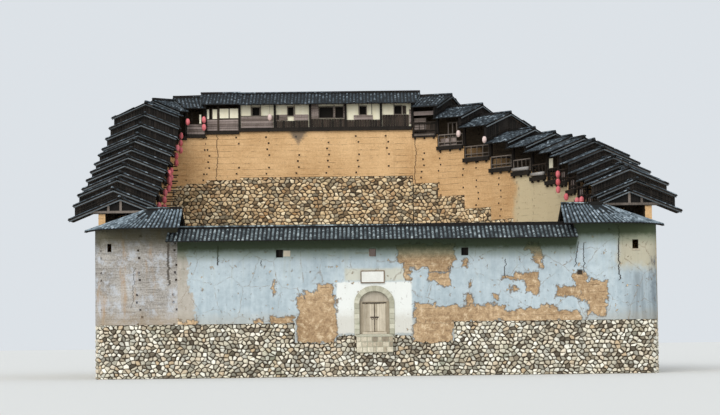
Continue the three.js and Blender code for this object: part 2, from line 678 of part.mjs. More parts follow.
// Gate: stone arch, panel, timber frame, two leaves on pivots, sill and a bare board above.
function addGate() {
  const sill = box(gateLeft + 2 * joint, gateRight - 2 * joint, 0, frontDepth, 0, sillTop);
  const stepBlock = box(gateX - step.half, gateX + step.half, step.front, step.back, step.foot, step.top);
  const sillCut = solidFrom(box(passageLeft - 0.5, passageLeft + joint, archBack, 4, -1, 4)).add(
    solidFrom(box(passageRight - joint, passageRight + 0.5, archBack, 4, -1, 4)),
  );
  addNode("gate_sill", joined([sill, stepBlock]).subtract(sillCut), archStone);

  const ring = solidFrom(upright(archOutline(archOuter, sillTop + joint), archFront, archBack));
  const hole = solidFrom(upright(archOutline(archInner, sillTop - 0.5), archFront - 1, archBack + 1));
  addNode("gate_arch", ring.subtract(hole), archStone);

  const doorBottom = sillTop + frameSill;
  const outerHalf = archInner.half - joint;
  const lintelTop = springing + lintelDepth;
  const whole = box(gateX - outerHalf, gateX + outerHalf, frameFront, frameBack, sillTop + joint, lintelTop);
  const inArch = archOutline(archInner, sillTop - 0.5, -joint);
  const clearArch = solidFrom(upright(inArch, frameFront - 1, frameBack + 1));
  const doorway = solidFrom(box(gateX - doorHalf, gateX + doorHalf, 0, 1, doorBottom, springing));
  addNode("gate_frame", solidFrom(whole).intersect(clearArch).subtract(doorway), timber);

  const fillFront = frameFront + tympanumInset;
  const fill = solidFrom(upright(inArch, fillFront, frameBack - tympanumInset));
  const low = solidFrom(box(-4, 4, -1, 2, 0, lintelTop + joint));
  addNode("gate_tympanum", fill.subtract(low), panel);

  for (const side of [-1, 1]) {
    const hinge = gateX + side * (doorHalf - leafSideGap);
    const meeting = gateX + side * leafMeeting;
    const z0 = doorBottom + leafEndGap;
    const z1 = springing - leafEndGap;
    const [x0, x1] = side < 0 ? [hinge, meeting] : [meeting, hinge];
    const board = box(x0, x1, leafY - leafThickness / 2, leafY + leafThickness / 2, z0, z1);
    const pivotX = hinge - side * leafPivotInset;
    const pivotHeight = z1 - z0 + 2 * (leafEndGap - joint);
    const pivot = new THREE.CylinderGeometry(pivotRadius, pivotRadius, pivotHeight, 12);
    pivot.rotateX(Math.PI / 2);
    pivot.translate(pivotX, leafY, (z0 + z1) / 2);
    addNode(side < 0 ? "gate_leaf_left" : "gate_leaf_right", joined([board, pivot]), door);
  }

  const boardFront = -boardThickness - joint;
  const boardTop = boardBottom + boardHeight;
  const ends = [boardX - boardWidth / 2, boardX + boardWidth / 2];
  const whiteBoard = box(...ends, boardFront, -joint, boardBottom, boardTop);
  const recessEnds = [ends[0] + boardRim, ends[1] - boardRim];
  const recess = box(...recessEnds, -1, boardFront + boardRecess, boardBottom + boardRim, boardTop - boardRim);
  addNode("name_board", solidFrom(whiteBoard).subtract(solidFrom(recess)), timber);
}
addGate();

// The origin is the middle of the object's footprint, at its foot.
fort.updateMatrixWorld(true);
const bounds = new THREE.Box3().setFromObject(fort);
const middle = bounds.getCenter(new THREE.Vector3());
fort.position.set(-middle.x, -middle.y, -bounds.min.z);
fort.updateMatrixWorld(true);

export default fort;
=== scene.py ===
import math
import bpy
import numpy as np
from mathutils import Matrix, Vector


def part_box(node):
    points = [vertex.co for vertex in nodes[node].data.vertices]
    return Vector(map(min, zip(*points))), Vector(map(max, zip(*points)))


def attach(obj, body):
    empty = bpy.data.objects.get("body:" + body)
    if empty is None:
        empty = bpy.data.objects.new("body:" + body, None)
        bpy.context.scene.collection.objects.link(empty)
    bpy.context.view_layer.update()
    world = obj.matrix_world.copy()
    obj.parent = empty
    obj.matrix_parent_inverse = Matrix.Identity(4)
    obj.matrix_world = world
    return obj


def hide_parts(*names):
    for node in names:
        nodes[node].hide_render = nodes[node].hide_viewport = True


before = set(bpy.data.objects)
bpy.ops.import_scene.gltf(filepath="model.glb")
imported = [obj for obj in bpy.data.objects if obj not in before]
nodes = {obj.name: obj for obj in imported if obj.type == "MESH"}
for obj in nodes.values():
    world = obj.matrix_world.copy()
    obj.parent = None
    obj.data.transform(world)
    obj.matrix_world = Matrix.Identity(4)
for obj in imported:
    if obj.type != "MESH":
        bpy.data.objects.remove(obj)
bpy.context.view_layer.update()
dice = np.random.default_rng(11)

# Sizes below are real ones in metres, the model is at half size
half = 0.5
midX = (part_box("corner_wall_left")[0].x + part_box("corner_wall_right")[1].x) / 2
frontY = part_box("front_wall_left")[0].y
middle = np.array([midX, frontY, 0.0])


def at(x, y, z):  # a real place in the model
    return Vector((x * half + midX, y * half + frontY, z * half))


def place(points):  # the same for an array
    return np.asarray(points, float) * half + middle


# ---- shader maths
def setStops(ramp, stops):
    while len(ramp.elements) < len(stops):
        ramp.elements.new(0.5)
    for element, (position, colour) in zip(ramp.elements, stops):
        element.position = position
        element.color = (*colour, 1)


class Wire:
    def __init__(self, tree, socket=None):
        self.tree = tree
        self.socket = socket

    def feed(self, value, target):  # a wire or a plain value into a socket
        if isinstance(value, Wire):
            self.tree.links.new(value.socket, target)
        elif isinstance(value, tuple) and len(value) == 3 and target.type == "RGBA":
            target.default_value = (*value, 1)
        else:
            target.default_value = value

    def node(self, kind, settings=None, inputs=None, out=0):
        made = self.tree.nodes.new(kind)
        for key, value in (settings or {}).items():
            if key == "stops":
                setStops(made.color_ramp, value)
            else:
                setattr(made, key, value)
        for key, value in (inputs or {}).items():
            self.feed(value, made.inputs[key])
        return Wire(self.tree, made.outputs[out])

    def maths(self, operation, first, second=0.0):
        return self.node("ShaderNodeMath", {"operation": operation}, {0: first, 1: second})

    def __add__(self, other):
        return self.maths("ADD", self, other)

    def __mul__(self, other):
        return self.maths("MULTIPLY", self, other)

    def __sub__(self, other):
        return self.maths("SUBTRACT", self, other)

    def __rsub__(self, other):
        return self.maths("SUBTRACT", other, self)

    def __truediv__(self, other):
        return self.maths("DIVIDE", self, other)

    __radd__ = __add__
    __rmul__ = __mul__

    def off(self, centre):  # distance from a value
        return self.maths("ABSOLUTE", self - centre)

    def larger(self, other):
        return self.maths("MAXIMUM", self, other)

    def smaller(self, other):
        return self.maths("MINIMUM", self, other)

    def ease(self, low, high):  # 0 below low, 1 above high
        settings = {"interpolation_type": "SMOOTHSTEP"}
        return self.node("ShaderNodeMapRange", settings, {0: self, 1: low, 2: high})

    def noise(self, scale, detail=3.0, rough=0.55):
        inputs = {"Vector": self, "Scale": scale, "Detail": detail, "Roughness": rough}
        return self.node("ShaderNodeTexNoise", None, inputs)

    def cellEdges(self, scale):  # how far it is to the nearest edge of a net of cells
        inputs = {"Vector": self, "Scale": scale}
        return self.node("ShaderNodeTexVoronoi", {"feature": "DISTANCE_TO_EDGE"}, inputs)

    def chance(self):  # one random number for each cell
        return self.node("ShaderNodeTexWhiteNoise", {"noise_dimensions": "3D"}, {"Vector": self})

    def stretch(self, x, y, z):
        return self.node("ShaderNodeVectorMath", {"operation": "MULTIPLY"}, {0: self, 1: (x, y, z)})

    def parts(self):
        split = self.node("ShaderNodeSeparateXYZ", None, {0: self}).socket.node
        return [Wire(self.tree, socket) for socket in split.outputs]

    def vector(self, x, y, z):
        return self.node("ShaderNodeCombineXYZ", None, {0: x, 1: y, 2: z})

    def ramp(self, *stops):
        return self.node("ShaderNodeValToRGB", {"stops": stops}, {0: self})

    def blend(self, first, second):  # two colours, this wire as the share of the second
        return self.node("ShaderNodeMix", {"data_type": "RGBA"}, {0: self, 6: first, 7: second}, 2)

    def coat(self, colour, strength, tint):  # a tint over a colour, where this wire is 1
        return (self * strength).blend(colour, tint)

    def shade(self, colour):  # a colour made lighter or darker by this wire
        inputs = {0: colour, 1: self.vector(self, self, self)}
        return self.node("ShaderNodeVectorMath", {"operation": "MULTIPLY"}, inputs)


class Finish:
    def __init__(self, name, roughness=0.9, specular=0.25):
        self.material = bpy.data.materials.new(name)
        self.material.use_nodes = True
        tree = self.material.node_tree
        self.shader = tree.nodes["Principled BSDF"]
        self.shader.inputs["Roughness"].default_value = roughness
        self.shader.inputs["Specular IOR Level"].default_value = specular
        start = Wire(tree)
        spot = start.node("ShaderNodeTexCoord", None, None, "Object")
        shift = tuple(-middle / half)
        inputs = {0: spot, 1: (1 / half,) * 3, 2: shift}
        self.real = start.node("ShaderNodeVectorMath", {"operation": "MULTIPLY_ADD"}, inputs)
        self.tone = start.node("ShaderNodeAttribute", {"attribute_name": "tone"}, None, "Fac")
        self.facing = start.node("ShaderNodeNewGeometry", None, None, "True Normal")

    def paint(self, colour):
        self.real.feed(colour, self.shader.inputs["Base Color"])

    def dent(self, height, depth, strength=1.0):  # height in 0 to 1, depth in model metres
        inputs = {"Height": height, "Distance": depth, "Strength": strength}
        self.real.feed(self.real.node("ShaderNodeBump", None, inputs), self.shader.inputs["Normal"])


# ---- finishes
def alongWall(finish):  # metres along a wall, whichever way it faces
    x, y, z = finish.real.parts()
    nx, ny, _ = finish.facing.parts()
    return y * nx - x * ny, z


earth = {
    "lift": 0.53, "hole": 0.07, "holeEvery": 2.6, "zigzag": 0.2, "holeShade": (0.03, 0.018, 0.011),
    "tan": ((0.44, 0.25, 0.105), (0.78, 0.52, 0.275)),
    "grey": ((0.12, 0.105, 0.09), (0.58, 0.55, 0.51)),
    "patch": ((0.22, 0.13, 0.06), (0.64, 0.46, 0.28)),
}


# Rammed earth: thin lift lines, and putlog holes painted near black as the shade inside them
def earthLook(finish, colours, lined=1.0, holed=True, layered=0.5):
    along, z = alongWall(finish)
    real = finish.real
    wander = real.noise(0.8, 2) - 0.5
    row = z / earth["lift"] + wander * 0.16
    level = row.maths("FLOOR", row)
    inRow = row.maths("FRACT", row)
    patchy = real.noise(0.2, 4, 0.6)
    grain = real.noise(9.0, 4, 0.7)
    layers = real.stretch(0.5, 0.5, 9.0).noise(1.2, 3, 0.6)
    pits = real.stretch(1.0, 1.0, 1.6).noise(3.2, 4, 0.7).ease(0.6, 0.78)
    share = patchy * 0.9 + grain * 0.75 + layers * layered - (0.37 + layered / 2)
    colour = share.ease(0.05, 0.85).blend(*colours)
    dashes = real.stretch(1.0, 1.0, 0.4).noise(0.9, 4, 0.7).ease(0.42, 0.62)
    lines = (inRow - 0.5).off(0).ease(0.44, 0.5) * dashes * (0.42 * lined)
    colour = (1 - lines.larger(pits * 0.3)).shade(colour)
    height = grain * 0.35 + layers * 0.25 - lines * 1.5 - pits * 0.5
    if not holed:
        return colour, height
    sway = (real.vector(level, 3.7, 1.3).chance() - 0.5) * (2 * earth["zigzag"] / earth["holeEvery"])
    column = along / earth["holeEvery"] + sway
    holeX = (column.maths("FRACT", column) - 0.5).off(0) * earth["holeEvery"]
    holeZ = (inRow - 0.30).off(0) * earth["lift"]
    present = real.vector(column.maths("FLOOR", column), level, 9.2).chance().ease(0.2, 0.21)
    ragged = holeX.larger(holeZ) + grain * 0.06 - 0.03
    hole = (1 - ragged.ease(earth["hole"] * 0.8, earth["hole"] * 1.2)) * present
    # the holes painted near black: painted shade inside them
    return hole.blend(colour, earth["holeShade"]), height - hole * 2.0


def earthFinish(name, colours, wash=None, lined=1.0):
    finish = Finish(name, 0.95)
    colour, height = earthLook(finish, colours, lined)
    if wash:
        colour = wash(finish, colour)
    finish.paint(colour)
    finish.dent(height, 0.02)
    return finish.material


def crackMask(finish, lines):
    x, _, z = finish.real.parts()
    wiggle = (finish.real.vector(2.2, 1.1, z).noise(1.6, 5, 0.75) - 0.5) * 0.75
    mask = None
    for line, lean, top, bottom, wide in lines:
        middleZ, reach = (top + bottom) / 2, (top - bottom) / 2
        away = (x - line + wiggle - (z - middleZ) * lean).off(0)
        one = (1 - away.ease(wide * 0.5, wide)) * (1 - (z - middleZ).off(0).ease(reach - 0.1, reach))
        mask = one if mask is None else mask.larger(one)
    return mask


# The courtyard's walls are paler towards the right-hand sweep. The strength and the tint of each coat
courtyard = {
    "pale": (0.60, 0.50, 0.32), "streak": (0.35, (0.30, 0.17, 0.075)), "spots": (0.6, (0.16, 0.09, 0.045)),
    "smoke": (0.8, (0.10, 0.09, 0.08)), "smokeX": 6.4, "smokeTop": 20.7,
    "crack": (0.85, (0.06, 0.035, 0.02)),
    # X at half height, lean, top, bottom, width
    "cracks": [(-13.48, 0, 20.6, 16.2, 0.05), (3.75, 0, 20.6, 15.0, 0.05)],
}


def courtyardWash(finish, colour):
    x, y, z = finish.real.parts()
    nx, ny, _ = finish.facing.parts()
    inward = 1 - (nx * x + ny * (y - 17)).ease(-0.1, 0.1)
    rightwards = (x + finish.real.noise(0.5, 3) * 1.5).ease(12.2, 12.9)
    pale = rightwards * (20.4 - y).off(0).ease(30, 8) * inward
    streak = finish.real.stretch(1.2, 1.2, 0.06).noise(2.0, 3).ease(0.58, 0.85)
    colour = pale.blend(colour, courtyard["pale"])
    colour = streak.coat(colour, *courtyard["streak"])
    spots = finish.real.noise(4.5, 3, 0.7).ease(0.62, 0.72)
    colour = spots.coat(colour, *courtyard["spots"])
    rough = finish.real.noise(3.5, 4, 0.75) * 1.2
    fromFire = (x + courtyard["smokeX"]).off(0) + (courtyard["smokeTop"] - z) * 0.8 + rough
    smoke = (1 - fromFire.ease(1.1, 1.7)) * inward
    colour = smoke.coat(colour, *courtyard["smoke"])
    cracks = crackMask(finish, courtyard["cracks"]) * inward
    return cracks.coat(colour, *courtyard["crack"])


# The left corner: brown streaks, and painted shade under the eave. Each coat has its strength and its tint
greyCoats = {
    "pale": (0.6, (0.52, 0.56, 0.62)), "streak": (0.7, (0.38, 0.25, 0.14)),
    "top": (0.92, (0.05, 0.045, 0.022)), "foot": (0.5, (0.33, 0.25, 0.16)),
    "crack": (0.8, (0.05, 0.04, 0.03)),
}


def greyWash(finish, colour):
    z = finish.real.parts()[2]
    streak = finish.real.stretch(1.5, 1.5, 0.35).noise(0.9, 4, 0.6).ease(0.52, 0.72)
    pale = finish.real.noise(1.0, 6, 0.78).ease(0.48, 0.62)
    colour = pale.coat(colour, *greyCoats["pale"])
    colour = streak.coat(colour, *greyCoats["streak"])
    # painted shade under the eave, darker towards the top
    top = (z + finish.real.noise(1.4, 4) * 0.8).ease(9.0, 10.6)
    colour = top.coat(colour, *greyCoats["top"])
    foot = 1 - (z - finish.real.noise(1.1, 4) * 1.4).ease(3.3, 4.4)
    colour = foot.coat(colour, *greyCoats["foot"])
    return crackMask(finish, front["leftCracks"]).coat(colour, *greyCoats["crack"])


# Patches of the front: middle X, middle Z, half width, half height. Cracks as in the courtyard
front = {
    "bare": [
        (3.6, 8.8, 2.1, 0.6), (3.65, 8.1, 1.7, 0.35), (4.45, 7.65, 0.75, 0.25), (2.3, 7.35, 0.2, 0.5),
        (4.5, 7.05, 0.85, 0.3), (4.85, 6.65, 0.45, 0.25),
        (-4.25, 4.05, 1.4, 1.7), (-3.65, 6.15, 0.5, 0.5), (-4.15, 5.75, 1.0, 0.4), (-7.25, 6.5, 0.12, 0.6),
        (-8.45, 3.95, 0.3, 0.2), (-6.75, 4.05, 0.85, 0.3), (-14.25, 4.0, 1.4, 0.2),
        (3.45, 4.5, 0.8, 0.7), (4.95, 4.35, 0.95, 0.55), (7.3, 4.4, 1.85, 0.6), (6.6, 5.4, 0.25, 0.4),
        (11.75, 4.15, 2.85, 0.4), (10.85, 4.45, 0.9, 0.25), (12.3, 4.55, 0.7, 0.35),
        (4.0, 3.05, 1.45, 0.8), (6.35, 7.9, 0.2, 0.3), (6.65, 6.45, 0.08, 0.25), (8.45, 5.55, 0.2, 0.2),
        (11.2, 9.15, 0.5, 0.3), (11.5, 8.55, 0.35, 0.35), (11.75, 7.95, 0.22, 0.4),
        (9.85, 6.95, 0.9, 0.12), (10.7, 7.0, 0.95, 0.28), (11.15, 6.4, 0.5, 0.55),
        (9.8, 6.15, 0.15, 0.25), (13.7, 5.9, 0.85, 0.4), (14.55, 6.6, 0.45, 0.6),
        (15.55, 5.95, 1.0, 0.7), (15.7, 4.8, 0.65, 0.65),
    ],
    "weathered": [(-14.2, 8.45, 0.75, 1.35), (-14.2, 6.6, 0.75, 0.9), (-14.0, 4.9, 0.95, 1.2)],
    "white": (-0.16, 4.9, 2.7, 1.85), "creamAbove": (-0.1, 7.25, 2.1, 0.42),
    "stain": (19.8, 6.65, 0.25, 1.7), "shadedHollow": (14.55, 7.25, 0.2, 0.2),
    "cracks": [(-11.3, 0, 9.5, 8.0, 0.05), (17.35, 0, 10.6, 6.6, 0.045), (14.35, 0.15, 9.5, 7.6, 0.03),
               (14.85, 0, 9.4, 7.2, 0.03), (-8.2, 0, 8.4, 7.9, 0.03), (9.2, 0.1, 8.3, 6.9, 0.03)],
    "leftCracks": [(-14.85, 0, 9.7, 6.6, 0.11), (-17.4, 0.1, 8.0, 5.0, 0.03)],
}


def boxGap(x, z, area):  # below 0 inside a rectangle
    cx, cz, hx, hz = area
    return ((x - cx).off(0) - hx).larger((z - cz).off(0) - hz)


def closest(x, z, areas):
    gap = boxGap(x, z, areas[0])
    for area in areas[1:]:
        gap = gap.smaller(boxGap(x, z, area))
    return gap


# The strength and the tint of each coat over the plaster
plasterCoats = {
    "white": (0.9, (0.78, 0.79, 0.755)), "cream": (0.7, (0.60, 0.57, 0.45)),
    "ends": (0.85, (0.44, 0.39, 0.27)), "edge": (0.8, (0.50, 0.38, 0.22)),
    "soot": (0.85, (0.10, 0.12, 0.15)), "drips": (0.35, (0.26, 0.28, 0.22)),
    "hair": (0.6, (0.20, 0.155, 0.11)), "foot": (0.35, (0.34, 0.28, 0.19)),
    # rim: painted shadow along the broken edge of the plaster round each bare patch
    "rim": (0.6, (0.13, 0.085, 0.05)), "darkSoil": (0.6, (0.20, 0.125, 0.07)),
    "paleSoil": (0.5, (0.80, 0.65, 0.45)),
}


def plasterLook(finish):
    real = finish.real
    x, _, z = real.parts()
    across = real.stretch(1, 0, 1).noise(1.2, 6, 0.7) - 0.5
    upwards = real.vector(z, 4.1, x).noise(1.2, 6, 0.7) - 0.5
    px, pz = x + across * 1.7, z + upwards * 1.5
    specks = (0.637 - real.stretch(1, 0, 1).noise(2.6, 5, 0.7)) * 2.6
    gap = closest(px, pz, front["bare"]).smaller(specks)
    bare = 1 - gap.ease(-0.04, 0.0)
    # a thin band round each bare patch, for the painted shadow of the broken plaster edge
    rim = 1 - (gap - 0.02).off(0).ease(0.0, 0.07)
    cloud = real.noise(0.3, 4, 0.6)
    mottle = real.noise(2.2, 5, 0.7)
    streak = real.stretch(1.6, 1.6, 0.12).noise(1.6, 4, 0.6)
    pale = (cloud * 0.55 + mottle * 0.45 + streak * 0.4 - 0.25).ease(0.1, 0.8)
    colour = pale.blend((0.27, 0.34, 0.38), (0.58, 0.66, 0.70))
    nearX, nearZ = px * 0.25 + x * 0.75, pz * 0.25 + z * 0.75
    white = 1 - boxGap(nearX, nearZ, front["white"]).ease(-0.1, 0.06)
    colour = white.coat(colour, *plasterCoats["white"])
    cream = 1 - boxGap(nearX, nearZ, front["creamAbove"]).ease(-0.1, 0.15)
    colour = cream.coat(colour, *plasterCoats["cream"])
    ends = (x + across * 0.8).ease(16.9, 17.6) * (pz + 0.4).ease(7.4, 8.4)
    colour = ends.coat(colour, *plasterCoats["ends"])
    edge = (x + across * 0.3).ease(20.0, 20.15)
    colour = edge.coat(colour, *plasterCoats["edge"])
    stain = 1 - boxGap(px * 0.4 + x * 0.6, pz, front["stain"]).ease(-0.1, 0.1)
    soot = stain * (streak + mottle).ease(0.75, 1.15)
    colour = soot.coat(colour, *plasterCoats["soot"])
    grime = x.ease(17.3, 18.4) * (1 - z.ease(6.8, 7.8)) * (streak.ease(0.36, 0.6) * 0.7 + 0.25)
    colour = grime.blend(colour, (0.22, 0.26, 0.285))
    bleached = 1 - closest(px, pz, front["weathered"]).ease(-0.06, 0.1)
    colour = bleached.blend(colour, mottle.blend((0.24, 0.20, 0.15), (0.60, 0.57, 0.52)))
    drips = streak.ease(0.5, 0.75) * (z + streak * 2).ease(6.4, 9.6)
    colour = drips.coat(colour, *plasterCoats["drips"])
    crazed = real.vector(x + across * 0.7, 0.0, z + upwards * 0.7)
    web = crazed.cellEdges(0.45)
    hair = (1 - web.ease(0.004, 0.016)) * mottle.ease(0.4, 0.58) * (1 - white)
    colour = hair.coat(colour, *plasterCoats["hair"])
    foot = 1 - (z - mottle * 1.3).ease(3.3, 4.3)
    colour = foot.coat(colour, *plasterCoats["foot"])
    return colour, bare, rim, mottle


# Painted shade under the eaves, partly damp and moss, higher up on the corner rooms
eaveShadeBand = {
    "middleX": -0.2, "cornerX": 14.45, "cornerRise": 0.85,
    # where it starts, where it is full, how strong it is, its colour
    "bands": [(8.35, 9.15, 0.68, (0.13, 0.165, 0.11)), (9.0, 9.5, 0.92, (0.035, 0.05, 0.022))],
}


def eaveShade(finish, colour, mottle):
    x, _, z = finish.real.parts()
    corner = (x.off(eaveShadeBand["middleX"]) - eaveShadeBand["cornerX"]).ease(0, 0.3)
    level = z - corner * eaveShadeBand["cornerRise"] + mottle * 0.45
    for start, full, strength, tint in eaveShadeBand["bands"]:
        colour = level.ease(start, full).coat(colour, strength, tint)
    return colour


def plasterFinish():
    finish = Finish("plaster", 0.88)
    soil, soilHeight = earthLook(finish, earth["patch"], 0.9, False, 0.25)
    lumps = finish.real.noise(2.6, 5, 0.75)
    soil = (1 - lumps.ease(0.38, 0.49)).coat(soil, *plasterCoats["darkSoil"])
    soil = lumps.ease(0.52, 0.63).coat(soil, *plasterCoats["paleSoil"])
    colour, bare, rim, mottle = plasterLook(finish)
    colour = bare.blend(colour, soil)
    # the painted shadow along the broken plaster edges
    colour = rim.coat(colour, *plasterCoats["rim"])
    x, _, z = finish.real.parts()
    # a small hollow painted near black as its shade, with the dark cracks
    shadedHollow = 1 - boxGap(x, z, front["shadedHollow"]).ease(-0.08, 0.02)
    cracks = crackMask(finish, front["cracks"]).larger(shadedHollow)
    colour = cracks.blend(colour, (0.04, 0.03, 0.022))
    finish.paint(eaveShade(finish, colour, mottle))
    finish.dent(mottle * 0.25 + soilHeight * bare * 0.8 - bare * 1.4 - cracks * 2, 0.025)
    return finish.material


stoneTones = {
    "front": [(0.0, (0.09, 0.075, 0.055)), (0.12, (0.40, 0.34, 0.25)), (0.32, (0.78, 0.73, 0.59)),
              (0.52, (0.25, 0.235, 0.19)), (0.78, (0.97, 0.95, 0.84)), (1.0, (0.55, 0.42, 0.27))],
    "inner": [(0.0, (0.09, 0.065, 0.04)), (0.15, (0.46, 0.32, 0.18)), (0.42, (0.86, 0.66, 0.40)),
              (0.62, (0.20, 0.165, 0.115)), (0.82, (0.92, 0.78, 0.54)), (1.0, (0.44, 0.26, 0.12))],
}


def stoneFinish(name, tones, moss):
    finish = Finish(name, 0.9)
    grain = finish.real.noise(6.0, 5, 0.65)
    colour = finish.tone.ramp(*tones)
    colour = (grain * 1.1 + 0.42).shade(colour)
    green = finish.real.noise(0.35, 3).ease(0.55, 0.75) * moss
    finish.paint(green.blend(colour, (0.13, 0.16, 0.07)))
    finish.dent(grain, 0.02)
    return finish.material


def beddingFinish():  # earth and shadow between the stones
    finish = Finish("stone_bedding", 0.98)
    grain = finish.real.noise(5.0, 4, 0.65)
    finish.paint(grain.blend((0.018, 0.013, 0.009), (0.10, 0.075, 0.05)))
    finish.dent(grain, 0.02)
    return finish.material


def tileFinish(name, dark, light, rim):
    finish = Finish(name, 0.78, 0.35)
    grain = finish.real.noise(5.0, 4, 0.65)
    weather = finish.real.noise(0.6, 3, 0.6)
    share = finish.tone * 0.55 + grain * 0.55 + weather * 0.35 - 0.35
    colour = share.ease(0.0, 0.9).blend(dark, light)
    worn = (finish.tone + grain).ease(1.3, 1.65)
    finish.paint(worn.coat(colour, 0.6, rim))
    finish.dent(grain, 0.006)
    return finish.material


def shadedDeckFinish():  # the under-tiles between the rows, stepped down the slope, painted near black as the shade between the cover rows
    finish = Finish("under_tiles_in_painted_shade", 0.85)
    x, y, _ = finish.real.parts()
    nx, ny, _ = finish.facing.parts()
    level = nx * nx + ny * ny + 0.0001
    flat = level.maths("SQRT", level)
    down = (x * nx + y * ny) / flat / 0.2
    step = down.maths("FRACT", down)
    grain = finish.real.noise(6.0, 3)
    colour = (grain * 0.6 + step * 0.35).blend((0.002, 0.0025, 0.003), (0.022, 0.027, 0.030))
    finish.paint(colour)
    finish.dent(step + grain * 0.4, 0.02)
    return finish.material


def timberFinish(name, dark, light):
    finish = Finish(name, 0.8)
    grain = finish.real.stretch(7, 7, 1.1).noise(1.5, 4, 0.65)
    blotch = finish.real.noise(1.3, 3, 0.6)
    share = grain * 0.6 + blotch * 0.4 + finish.tone * 0.45 - 0.3
    finish.paint(share.ease(0.05, 0.85).blend(dark, light))
    finish.dent(grain, 0.008)
    return finish.material


def plainFinish(name, low, high):
    finish = Finish(name, 0.85)
    stain = finish.real.stretch(1.4, 1.4, 0.5).noise(1.6, 4, 0.65)
    fine = finish.real.noise(9, 3)
    finish.paint((stain * 0.8 + fine * 0.3 + finish.tone * 0.2 - 0.15).ease(0.1, 0.9).blend(low, high))
    finish.dent(stain + fine * 0.3, 0.006)
    return finish.material


def archStoneFinish():
    finish = Finish("dressed_stone", 0.85)
    grain = finish.real.noise(9.0, 5, 0.65)
    stain = finish.real.noise(1.1, 3)
    share = (grain * 0.5 + finish.tone * 0.55 + stain * 0.3 - 0.2).ease(0.1, 0.95)
    colour = share.blend((0.34, 0.33, 0.25), (0.62, 0.60, 0.49))
    finish.paint(stain.ease(0.55, 0.8).coat(colour, 0.5, (0.20, 0.24, 0.13)))
    finish.dent(grain, 0.008)
    return finish.material


# One kind of tile in three copies: the corner copy painted lighter and the side copy darker, as painted
# light and shade
# Name, dark, light, worn edges
tileColours = {
    "frontTile": ("front_tiles", (0.02, 0.03, 0.035), (0.28, 0.34, 0.36), (0.70, 0.78, 0.79)),
    "cornerTile": ("corner_tiles_painted_lighter", (0.055, 0.075, 0.09), (0.30, 0.375, 0.43), (0.55, 0.62, 0.68)),
    "sideTile": ("side_tiles_painted_darker", (0.006, 0.009, 0.012), (0.085, 0.115, 0.140), (0.48, 0.56, 0.62)),
}
# Name, dark, light
timberColours = {
    "timber": ("dark_timber", (0.010, 0.008, 0.006), (0.060, 0.043, 0.032)),
    # near-black timber: painted shade on the roof slabs' edges and undersides, the boarded gables and the
    # front windows
    "soot": ("timber_in_painted_shade", (0.003, 0.0025, 0.002), (0.028, 0.022, 0.018)),
    "greyTimber": ("grey_timber", (0.06, 0.05, 0.042), (0.24, 0.20, 0.17)),
    "verge": ("weathered_verges", (0.022, 0.027, 0.030), (0.165, 0.19, 0.205)),
    "mauve": ("faded_boards", (0.13, 0.10, 0.085), (0.38, 0.31, 0.285)),
    "tympanum": ("tympanum_boards", (0.40, 0.35, 0.28), (0.74, 0.68, 0.57)),
    "brown": ("brown_frame", (0.10, 0.065, 0.04), (0.30, 0.21, 0.14)),
    "door": ("bleached_boards", (0.30, 0.25, 0.18), (0.66, 0.59, 0.47)),
}
plainColours = {
    # cream panels painted near white: their own cream, lifted as painted light where the eaves shade them
    "cream": ("cream_panels", (0.88, 0.82, 0.60), (1.0, 0.97, 0.80)),
    "board": ("white_board", (0.62, 0.62, 0.58), (0.86, 0.86, 0.82)),
    "iron": ("old_iron", (0.02, 0.015, 0.012), (0.10, 0.075, 0.06)),
    "lantern": ("lantern_cloth", (0.52, 0.07, 0.08), (0.86, 0.27, 0.30)),
    "paleLantern": ("pale_lantern", (0.62, 0.45, 0.42), (0.88, 0.74, 0.70)),
    "bundle": ("rolled_mats", (0.22, 0.21, 0.20), (0.48, 0.46, 0.44)),
}
looks = {
    "tan": earthFinish("rammed_earth", earth["tan"], courtyardWash),
    "grey": earthFinish("grey_earth", earth["grey"], greyWash, 0.7),
    # the upper walls' inner faces painted near black, as shade inside the galleries
    "inside": earthFinish("earth_in_painted_shade", ((0.03, 0.022, 0.015), (0.11, 0.08, 0.05))),
    "plaster": plasterFinish(),
    "bedding": beddingFinish(),
    "frontStone": stoneFinish("front_stones", stoneTones["front"], 0.35),
    "innerStone": stoneFinish("inner_stones", stoneTones["inner"], 0.18),
    **{key: tileFinish(*colours) for key, colours in tileColours.items()},
    "deck": shadedDeckFinish(),
    "archStone": archStoneFinish(),
    **{key: timberFinish(*colours) for key, colours in timberColours.items()},
    **{key: plainFinish(*colours) for key, colours in plainColours.items()},
}
print("finishes:", len(looks))


# ---- modelling helpers
def neighbours(items):  # each item with the next one
    return list(zip(items[:-1], items[1:]))


def unit(vector):
    return vector / np.linalg.norm(vector)


def onlyActive(piece):
    bpy.ops.object.select_all(action="DESELECT")
    piece.select_set(True)
    bpy.context.view_layer.objects.active = piece


def editAll():  # edit mode, with everything selected
    bpy.ops.object.mode_set(mode="EDIT")
    bpy.ops.mesh.select_all(action="SELECT")


def leaveEdit():
    bpy.ops.object.mode_set(mode="OBJECT")


def moveFaces(piece, test, rise):  # lifts the faces that pass the test
    onlyActive(piece)
    bpy.ops.object.mode_set(mode="EDIT")
    bpy.ops.mesh.select_mode(type="FACE")
    bpy.ops.mesh.select_all(action="DESELECT")
    leaveEdit()
    for face in piece.data.polygons:
        face.select = bool(test(face))
    bpy.ops.object.mode_set(mode="EDIT")
    bpy.ops.transform.translate(value=(0, 0, rise * half))
    leaveEdit()


